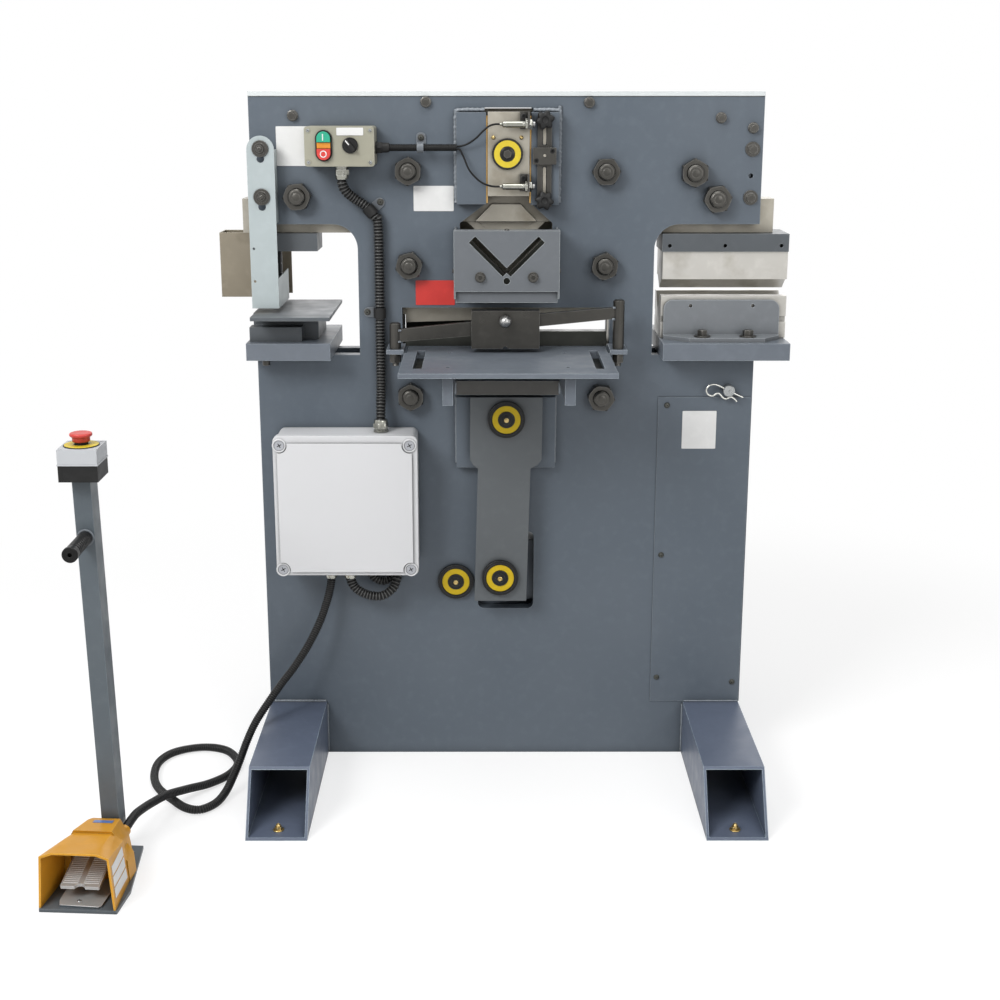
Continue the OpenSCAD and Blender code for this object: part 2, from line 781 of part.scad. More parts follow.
module chip_guard() {
    color([0.6, 0.57, 0.5]) {
        blk(-550, -548, 46, 106, 912, 1036);
        blk(-548, -440, 46, 48, 912, 1036);
        blk(-548, -420, 104, 106, 912, 1036);
        blk(-442, -440, 48, 104, 912, 960);
        blk(-466, -436, rear, 104, 1034, 1036);
        blk(-466, -436, rear, rear + 2, 1036, 1110);
        blk(-466, -436, 102, 104, 1020, 1034);
    }
}

module v_die() {
    half_width = 50;
    top = 927;
    color([0.66, 0.65, 0.62]) difference() {
        blk(brake_x, brake_x + brake_length, -half_width, half_width, bolster_top, top);
        side_slab(brake_x - 1, brake_x + brake_length + 1) polygon([[-groove_half, top + 1],
            [-groove_half, top], [0, top - groove_half], [groove_half, top],
            [groove_half, top + 1]]);
        blk(brake_x - 1, brake_x + brake_length + 1, -half_width - 1, -half_width + 6, 878,
            888);
        blk(brake_x - 1, brake_x + brake_length + 1, half_width - 6, half_width + 1, 878,
            888);
    }
}

module die_angle_plate() {
    x0 = brake_x + 5;
    z0 = bolster_top;
    color([0.43, 0.46, 0.51]) {
        difference() {
            slab(-58, -50) difference() {
                union() {
                    translate([x0, z0]) square([217, 56]);
                    translate([x0 + 17, z0]) square([183, 73]);
                    for (x = [x0 + 17, x0 + 200])
                        translate([x, z0 + 56]) circle(17);
                }
                for (x = [x0 + 50, x0 + 167])
                    translate([x, 909]) circle(3.5);
            }
        }
        difference() {
            translate([0, 0, z0]) linear_extrude(8) polygon([[x0, -58], [x0 + 217, -58],
                [x0 + 217, -66], [x0 + 184, -104], [x0 + 44, -104], [x0, -66]]);
            for (x = plate_bolts)
                zbar(x, -85, 8, z0 - 1, z0 + 9);
        }
    }
}

module stop_rail() {
    y1 = front - 25;
    color([0.2, 0.2, 0.2]) {
        difference() {
            blk(56, 82, y1 - 6, y1, 1094, 1258);
            blk(65, 73, y1 - 7, y1 + 1, 1204, 1252);
            blk(65, 73, y1 - 7, y1 + 1, 1100, 1166);
        }
        difference() {
            blk(48, 90, y1 - 14, y1 - 6, 1170, 1200);
            for (p = [[83, 1194], [54, 1177]])
                ybar(p[0], p[1], 4, y1 - 15, y1 - 9);
        }
    }
}

// Star shaped clamping knob with its shank
module star_knob(x, z) {
    y1 = front - 31;
    difference() {
        union() {
            slab(y1 - 20, y1 - 6) union() {
                translate([x, z]) circle(12);
                for (a = [0:60:300])
                    translate([x + 12.5 * cos(a), z + 12.5 * sin(a)]) circle(4.2);
            }
            ybar(x, z, 7.5, y1 - 6, y1 - face_gap);
            ybar(x, z, 3.7, y1 - face_gap, y1 + 5);
        }
        ybar(x, z, 5, y1 - 21, y1 - 18);
    }
}

module upper_knob() {
    color([0.16, 0.15, 0.14]) star_knob(69, 1244);
}

module lower_knob() {
    color([0.16, 0.15, 0.14]) star_knob(69, 1110);
}

module pedal_hose() {
    color([0.08, 0.08, 0.08]) bent_tube(pedal_route, hose_radius);
}

module box_conduits() {
    color([0.08, 0.08, 0.08]) {
        bent_tube(control_route, conduit_radius);
        bent_tube(loop_route, conduit_radius);
        bent_tube(lead_route, lead_radius);
        bent_tube(low_oil_route, oil_hose_radius, first = [1, 0, 0]);
        bent_tube(high_oil_route, oil_hose_radius, first = [1, 0, 0]);
    }
}

module sensor_cables() {
    color([0.06, 0.06, 0.06]) {
        bent_tube(upper_cable, 1.8, 8);
        bent_tube(lower_cable, 1.8, 8);
    }
}

module oil_tank() {
    color([0.34, 0.37, 0.42]) {
        difference() {
            blk(-200, 200, 135, 375, 25, 300);
            blk(-196, 196, 139, 371, 29, 301);
        }
        difference() {
            blk(-206, 206, 129, 381, 300, 306);
            zbar(-150, 330, 20, 299, 307);
        }
        zbar(-150, 330, 20, 270, 306);
        zbar(-150, 330, 26, 306, 330);
        for (x = [-190, 150])
            for (y = [135, 345])
                blk(x, x + 40, y, y + 30, 0, 25);
        for (x = [-180, 150])
            difference() {
                blk(x, x + 30, rear, 135, 210, 280);
                blk(x - 1, x + 22, rear + 8, 127, 200, 290);
            }
    }
}

module pump_motor() {
    z = 392;
    color([0.26, 0.3, 0.36]) {
        xbar(260, z, 70, -110, 100);
        xbar(260, z, 74, -130, -110);
        xbar(260, z, 50, -148, -130);
        xbar(260, z, 58, 100, 132);
        xbar(260, z, 40, 132, 180);
        blk(-80, 80, 215, 305, 306, 330);
        blk(-40, 50, 215, 305, z + 62, z + 100);
        blk(150, 200, 140, 200, 306, 376);
    }
}

module station_post() {
    color([0.4, 0.42, 0.47]) {
        at_pedal() difference() {
            linear_extrude(6) polygon([[-63, -3], [66, -1.5], [69, 64], [45.5, 215],
                [-45.5, 215], [-69, 64]]);
            for (s = [-1, 1])
                zbar(s * 33.6, 187.7, 3, -1, 7);
        }
        at_pedal() difference() {
            translate([0, 0, 5.5]) linear_extrude(4.5) polygon([[-31, 5], [34, 2],
                [38.5, 7], [40.5, 50], [40.5, 92], [-37, 92], [-36, 20]]);
            zbar(-2, 17.5, 3, 5, 11);
        }
        difference() {
            translate([post_at[0], post_at[1], 6]) rotate([0, -post_lean, 0])
                difference() {
                    blk(-15, 15, -21.5, 21.5, -0.5, stop_floor);
                    blk(-13, 13, -19.5, 19.5, -1, stop_floor - 12);
                }
            blk(post_at[0] - 40, post_at[0] + 40, post_at[1] - 30, post_at[1] + 30,
                stop_floor, stop_floor + 20);
        }
    }
}

module post_grip() {
    x = post_at[0] - 9.7;
    y1 = post_at[1] - 21.5;
    z = 588;
    color([0.1, 0.1, 0.1]) difference() {
        union() {
            ybar(x, z, 12, y1 - 96, y1);
            ybar(x, z, 13, y1 - 98, y1 - 90);
        }
        for (i = [0:6])
            difference() {
                ybar(x, z, 14, y1 - 80 + i * 10, y1 - 77 + i * 10);
                ybar(x, z, 11.3, y1 - 81 + i * 10, y1 - 76 + i * 10);
            }
    }
}

module stop_box() {
    x0 = stop_at[0] - 33;
    y0 = stop_at[1] - 34;
    color([0.88, 0.88, 0.88]) difference() {
        blk(x0, x0 + 66, y0, y0 + 68, stop_floor, stop_seat);
        blk(x0 + 3, x0 + 63, y0 + 3, y0 + 65, stop_floor + 4, stop_seat - 4);
        zbar(stop_at[0], stop_at[1], 11, stop_seat - 5, stop_seat + 1);
    }
    color([0.95, 0.75, 0.1]) difference() {
        zbar(stop_at[0], stop_at[1], 28, stop_seat, stop_seat + 2);
        zbar(stop_at[0], stop_at[1], 11, stop_seat - 1, stop_seat + 3);
    }
}

module estop_head() {
    color([0.85, 0.15, 0.12]) {
        zbar(stop_at[0], stop_at[1], 10.9, stop_seat - 2, stop_seat + 8);
        zbar(stop_at[0], stop_at[1], 14.5, stop_seat + 6.5, stop_seat + 14);
        zbar(stop_at[0], stop_at[1], stop_radius, stop_seat + 13.5, stop_seat + 17);
        translate([stop_at[0], stop_at[1], stop_seat + 17]) cylinder(r1 = stop_radius,
            r2 = stop_radius - 3.5, h = 2.5);
    }
}

module start_button() {
    color([0.1, 0.65, 0.45]) {
        ybar(-327, 1217, 11.1, control_front - 9, control_front - 3.5);
        ybar(-327, 1217, 7.9, control_front - 3.5, control_front + 16);
    }
}

module stop_button() {
    color([0.85, 0.2, 0.2]) {
        ybar(-327, 1192, 11.1, control_front - 9, control_front - 3.5);
        ybar(-327, 1192, 7.9, control_front - 3.5, control_front + 16);
    }
}

module selector_knob() {
    color([0.1, 0.1, 0.1]) {
        ybar(-280, 1205, 14, control_front - 7, control_front - face_gap);
        ybar(-280, 1205, 7.9, control_front - face_gap, control_front + 16);
        translate([-280, control_front - 12, 1205]) rotate([0, -40, 0])
            blk(-3.5, 3.5, -6, 6, -12.5, 12.5);
    }
}

// Frame of the pedal: origin under the middle of its mouth, Y into it
module at_pedal() {
    translate([pedal_at[0], pedal_at[1], 0]) rotate([0, 0, -pedal_turn]) children();
}

// Upright slice across the pedal at depth y: foot, shoulder and roof corners on each side
module hood_slice(y, foot, shoulder, roof, thick = 0.1) {
    slab(y, y + thick) polygon([[-foot, 6], [-shoulder[0], shoulder[1]],
        [-roof[0], roof[1]], [roof[0], roof[1]], [shoulder[0], shoulder[1]], [foot, 6]]);
}

module pedal_hood() {
    wall = 3.5;
    color([0.93, 0.6, 0.12]) at_pedal() difference() {
        union() {
            hull() {
                hood_slice(0, 64, [58, 98.5], [38, 106]);
                hood_slice(97.9, 57.5, [50, 79], [31, 92]);
            }
            hull() {
                hood_slice(94, 49, [46.5, 73], [33, 97]);
                hood_slice(150, 46, [43.5, 61], [27, 88]);
            }
            hull() {
                hood_slice(150, 46, [43.5, 61], [27, 88]);
                hood_slice(166, 44.5, [38, 50], [24, 83]);
            }
            for (s = [-1, 1])
                slab(95, 130) polygon([[s * 46, 6], [s * 59, 6], [s * 56.5, 42],
                    [s * 46, 58]]);
            ybar(30, 61, hose_radius + 3, 140, 166);
        }
        hull() {
            hood_slice(-0.2, 64 - wall, [58 - wall, 98.5 - wall * 0.8],
                [38 - wall * 0.6, 106 - wall]);
            hood_slice(93, 57.9 - wall, [50.4 - wall, 79.8 - wall * 0.8],
                [31.3 - wall * 0.6, 92.6 - wall]);
        }
        slab(92, 150) polygon([[-40, 9], [-40, 57], [-25, 66], [25, 66], [40, 57],
            [40, 9]]);
        ybar(30, 61, hose_radius + hose_play, 149, 167);
    }
}

module treadle() {
    front_z = 30;
    slope = 0.25;
    color([0.62, 0.6, 0.55]) at_pedal() {
        difference() {
            side_slab(-33, 33) polygon([[18, front_z], [18, front_z + 5],
                [100, front_z + 5 + 82 * slope], [134, front_z + 26], [134, front_z + 15]]);
            zbar(0, 17, 8, 10, 50);
            for (s = [-1, 1])
                for (y = [28:8:84])
                    side_slab(s < 0 ? -29 : 4, s < 0 ? -4 : 29)
                        polygon([[y, front_z + 3 + (y - 18) * slope],
                            [y + 3, front_z + 3 + (y - 15) * slope],
                            [y + 3, front_z + 9 + (y - 18) * slope],
                            [y, front_z + 9 + (y - 18) * slope]]);
        }
        xbar(138, front_z + 19, 7, -40 + hose_play, 40 - hose_play);
    }
}

module ram_plate() {
    color([0.62, 0.6, 0.55]) difference() {
        slab(-ram_half, ram_half) difference() {
            polygon([[-half - 22, ram_floor], [-half - 22, 1105], [-half + 24, 1105],
                [-half + 24, 1083],
                [-215, 1083], [-150, 1125], [-150, 1268], [150, 1268], [150, 1125],
                [215, 1083], [half - 24, 1083], [half - 24, 1105], [half + 30, 1105],
                [half + 30, ram_floor],
                [228, ram_floor], [228, 787], [62, 787], [62, 660], [-60, 660],
                [-60, 787], [-228, 787], [-228, ram_floor]]);
            for (p = [[-180, 985], [183, 984]])
                upright_slot(p[0], p[1], p[1] + stroke, spacer_radius + slot_play);
            polygon([[0, 940], [86, 1026], [86, 1062], [51, 1062], [0, 1011],
                [-51, 1062], [-86, 1062], [-86, 1026]]);
            translate([-window_half - 1, blade_floor - 20])
                square([2 * window_half + 2, 888 - blade_floor + 20]);
            translate(ram_pin_at) circle(pin_radius);
        }
        blk(-190, 190, -ram_half - 1, -ram_half + 20, 880, 915);
    }
}

module guide_block() {
    color([0.72, 0.68, 0.56]) difference() {
        blk(guide_x[0], guide_x[1], front - 27, -ram_half, 1113, 1263);
        ybar(top_cap_at[0], top_cap_at[1], 6, front - 28, front);
    }
}

module moving_blades() {
    y0 = -ram_half - 0.2;
    color([0.55, 0.54, 0.5]) {
        slab(y0, -ram_half + 20) polygon([[-190, 873], [190, 885], [190, 915],
            [-190, 915]]);
        slab(y0, ram_half - 10) polygon([[0, 989], [73, 1062], [51, 1062], [0, 1011],
            [-51, 1062], [-73, 1062]]);
        slab(-ram_half - 16, -ram_half) polygon([[-27, 1096], [-58, 1064], [58, 1064],
            [27, 1096]]);
    }
}

module tool_holders() {
    color([0.43, 0.46, 0.51]) {
        difference() {
            blk(-478, -352, -42, 42, holder_floor, ram_floor);
            zbar(punch_x, 0, 14, holder_floor - 1, holder_floor + 20);
        }
        difference() {
            blk(brake_x, brake_x + brake_length, -50, 50, holder_floor, ram_floor);
            for (x = [brake_x + 14, brake_x + 117, brake_x + 222])
                ybar(x, 1020, 3.5, -51, -30);
            blk(brake_x + 1, brake_x + brake_length - 1, -12, 12, holder_floor - 1,
                holder_floor + 14);
        }
    }
}

module punch() {
    color([0.55, 0.55, 0.53]) {
        zbar(punch_x, 0, 14, 992, holder_floor + 20);
        zbar(punch_x, 0, 20, 984, 992);
        zbar(punch_x, 0, punch_radius, 916, 984);
    }
}

module brake_punch() {
    nose = 936;
    color([0.7, 0.69, 0.66]) union() {
        side_slab(brake_x + 2, brake_x + brake_length) polygon([[-45, holder_floor],
            [-45, nose + 21], [-32, nose + 21], [0, nose], [32, nose + 21],
            [45, nose + 21], [45, holder_floor]]);
        blk(brake_x + 2, brake_x + brake_length - 2, -11.9, 11.9, holder_floor,
            holder_floor + 13);
    }
}

// Proximity sensor lying along X with its two nuts
module sensor(z) {
    y = front - 46.5;
    difference() {
        union() {
            xbar(y, z, 6, -12, 50);
            translate([34, y, z]) rotate([0, 90, 0]) cylinder(r = 10, h = 4, $fn = 6);
            translate([41.5, y, z]) rotate([0, 90, 0]) cylinder(r = 10, h = 4, $fn = 6);
            blk(38, 41.5, y - 9, y + 9, z - 9, z + 22);
            blk(24, 41.5, y + 9, front - 27, z - 9, z + 22);
        }
    }
    ybar(31, z + 14, 4.5, y + 3, y + 9);
}

module sensors() {
    color([0.62, 0.6, 0.52]) {
        sensor(1241.5);
        sensor(1131.5);
    }
    color([0.12, 0.12, 0.12]) grease_cap(top_cap_at[0], top_cap_at[1], front - 27, -1, 28);
    color([0.75, 0.6, 0.3]) for (x = [-24, 27])
        ybar(x, 1217.5, 3.5, front - 31, front - 27);
}

module ram_pin() {
    x = ram_pin_at[0];
    z = ram_pin_at[1];
    color([0.16, 0.16, 0.16]) {
        ybar(x, z, pin_radius, -pin_end, pin_end);
        grease_cap(x, z, -pin_end, -1, cap_radius);
        grease_cap(x, z, pin_end, 1, cap_radius);
    }
}

module links() {
    module outline() {
        difference() {
            polygon([[-67, 742], [69, 742], [68, 621], [60, 611], [47, 604], [40.5, 339],
                [-60, 339], [-53, 604], [-62, 611], [-68, 621]]);
            translate(ram_pin_at) circle(pin_radius + run_gap);
            translate(link_pin_at) circle(pin_radius + eye_gap);
        }
    }
    color([0.38, 0.41, 0.45]) {
        slab(link_front_y - link_thick, link_front_y) outline();
        slab(-link_front_y, -link_front_y + link_thick) outline();
    }
}

module rocker_beam() {
    arm = [rod_pin_at[0] - pivot_at[0], rod_pin_at[1] - pivot_at[1]];
    reach = norm(arm);
    slope = atan2(arm[1], arm[0]);
    r = rod_pin_radius + 0.6;
    color([0.34, 0.36, 0.4]) difference() {
        slab(-ram_half, ram_half) difference() {
            polygon([[-146, 342], [-140, 392], [-110, 420], [-40, 442], [70, 442],
                [380, 465], [446, 466], [456, 446], [448, 410], [380, 398], [70, 322],
                [-40, 306], [-120, 312]]);
            translate(pivot_at) circle(pin_radius + run_gap);
            translate(link_pin_at) circle(pin_radius);
            translate(pivot_at) rotate(slope) {
                translate([reach - 9, 0]) circle(r);
                translate([reach, 0]) circle(r);
                translate([reach - 9, -r]) square([9, 2 * r]);
            }
        }
        blk(385, 470, -13.5, 13.5, 380, 500);
    }
}

module rocker_pin() {
    x = link_pin_at[0];
    z = link_pin_at[1];
    color([0.16, 0.16, 0.16]) {
        ybar(x, z, pin_radius, -pin_end, pin_end);
        grease_cap(x, z, -pin_end, -1, cap_radius);
        grease_cap(x, z, pin_end, 1, cap_radius);
    }
}

module cylinder_rod() {
    x = rod_pin_at[0];
    z = rod_pin_at[1];
    color([0.72, 0.73, 0.74]) {
        zbar(x, 0, rod_radius, 476, 670);
        zbar(x, 0, bore_radius - run_gap, 670, 688);
        intersection() {
            blk(x - 24, x + 24, -12.5, 12.5, z, 478);
            zbar(x, 0, 22, z, 478);
        }
        ybar(x, z, 22, -12.5, 12.5);
        ybar(x, z, rod_pin_radius, -ram_half, ram_half);
    }
}

module hold_down() {
    y = front - 60;
    color([0.25, 0.24, 0.23]) {
        difference() {
            union() {
                zbar(arm_x[0], y, 10.5, 837.5, 884);
                zbar(arm_x[1], y, 10.5, 837.5, 926);
                slab(y - 6, y + 6) polygon([[arm_x[0], 850], [-60, 862], [-60, 888],
                    [arm_x[0], 873]]);
                slab(y - 6, y + 6) polygon([[58, 879], [arm_x[1], 894], [arm_x[1], 915],
                    [58, 902]]);
            }
            for (x = arm_x)
                zbar(x, y, 6.1, 836, 930);
        }
        difference() {
            blk(-64, 61, y - 12, y + 12, 839, 909);
            ybar(-2, 839, 4.5, y - 13, y + 13);
            ybar(-2, 891, 5, y - 13, y - 6);
        }
        ybar(-2, 891, 5, y - 18, y - 6);
        translate([-2, y - 24, 891]) sphere(r = 11.5);
    }
}

front_plate();
rear_plate();
frame_legs();
top_cover();
tie_studs();
tie_nuts();
hex_bolts();
gib_plates();
wear_strips();
angle_guard();
fixed_blades();
feed_table();
front_brackets();
access_panel();
small_screws();
pivot_pin();
cylinder_barrel();
clevis_pin();
control_box();
enclosure_base();
enclosure_lid();
glands();
bolsters();
die_holder();
punch_die();
gauge_table();
punch_guard();
chip_guard();
v_die();
die_angle_plate();
stop_rail();
pedal_hose();
box_conduits();
oil_tank();
pump_motor();
station_post();
post_grip();
stop_box();
pedal_hood();
ram_plate();
guide_block();
moving_blades();
tool_holders();
punch();
brake_punch();
sensors();
ram_pin();
links();
rocker_beam();
rocker_pin();
cylinder_rod();
hold_down();
start_button();
stop_button();
selector_knob();
estop_head();
treadle();
upper_knob();
lower_knob();
sensor_cables();
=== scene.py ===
import json
import math

import bmesh
import bpy
from mathutils import Matrix, Vector, noise
from mathutils.bvhtree import BVHTree


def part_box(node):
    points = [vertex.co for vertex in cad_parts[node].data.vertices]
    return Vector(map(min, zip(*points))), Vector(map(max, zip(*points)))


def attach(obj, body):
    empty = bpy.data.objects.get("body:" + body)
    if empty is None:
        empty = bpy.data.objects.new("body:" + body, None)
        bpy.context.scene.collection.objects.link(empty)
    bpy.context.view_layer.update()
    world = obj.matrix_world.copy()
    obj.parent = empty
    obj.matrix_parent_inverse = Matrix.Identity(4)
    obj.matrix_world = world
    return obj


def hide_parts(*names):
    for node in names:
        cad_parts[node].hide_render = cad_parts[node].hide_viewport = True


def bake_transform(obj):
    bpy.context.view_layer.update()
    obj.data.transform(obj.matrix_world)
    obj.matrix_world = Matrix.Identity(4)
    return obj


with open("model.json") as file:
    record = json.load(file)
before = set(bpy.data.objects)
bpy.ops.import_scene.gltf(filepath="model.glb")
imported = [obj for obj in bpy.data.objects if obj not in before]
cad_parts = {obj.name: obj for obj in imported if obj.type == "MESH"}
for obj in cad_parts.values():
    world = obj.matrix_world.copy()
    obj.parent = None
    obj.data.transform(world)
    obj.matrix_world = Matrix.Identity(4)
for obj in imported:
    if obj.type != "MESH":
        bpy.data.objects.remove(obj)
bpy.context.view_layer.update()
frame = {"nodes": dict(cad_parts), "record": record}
nodes = frame["nodes"]
mm = 0.001  # lists below are in millimetres unless a note says metres
plateFront = -52.5
plateRear = 52.5
plateInner = round(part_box("rear_plate")[0][1] * 1000, 3)
print("frame loaded,", len(nodes), "nodes")

cameraSet = {"place": (-0.0331, -2.8338, 1.2969), "tilt": 75.741, "turn": -0.054,
             "lens": 53.5, "shift": (0.0103, -0.03)}


def makeCamera(c):
    lens = bpy.data.cameras.new("camera")
    lens.lens = c["lens"]
    lens.sensor_width = 36
    lens.shift_x, lens.shift_y = c["shift"]
    eye = bpy.data.objects.new("camera", lens)
    eye.location = c["place"]
    eye.rotation_euler = (math.radians(c["tilt"]), 0, math.radians(c["turn"]))
    bpy.context.scene.collection.objects.link(eye)
    bpy.context.scene.camera = eye


makeCamera(cameraSet)
print("camera set")

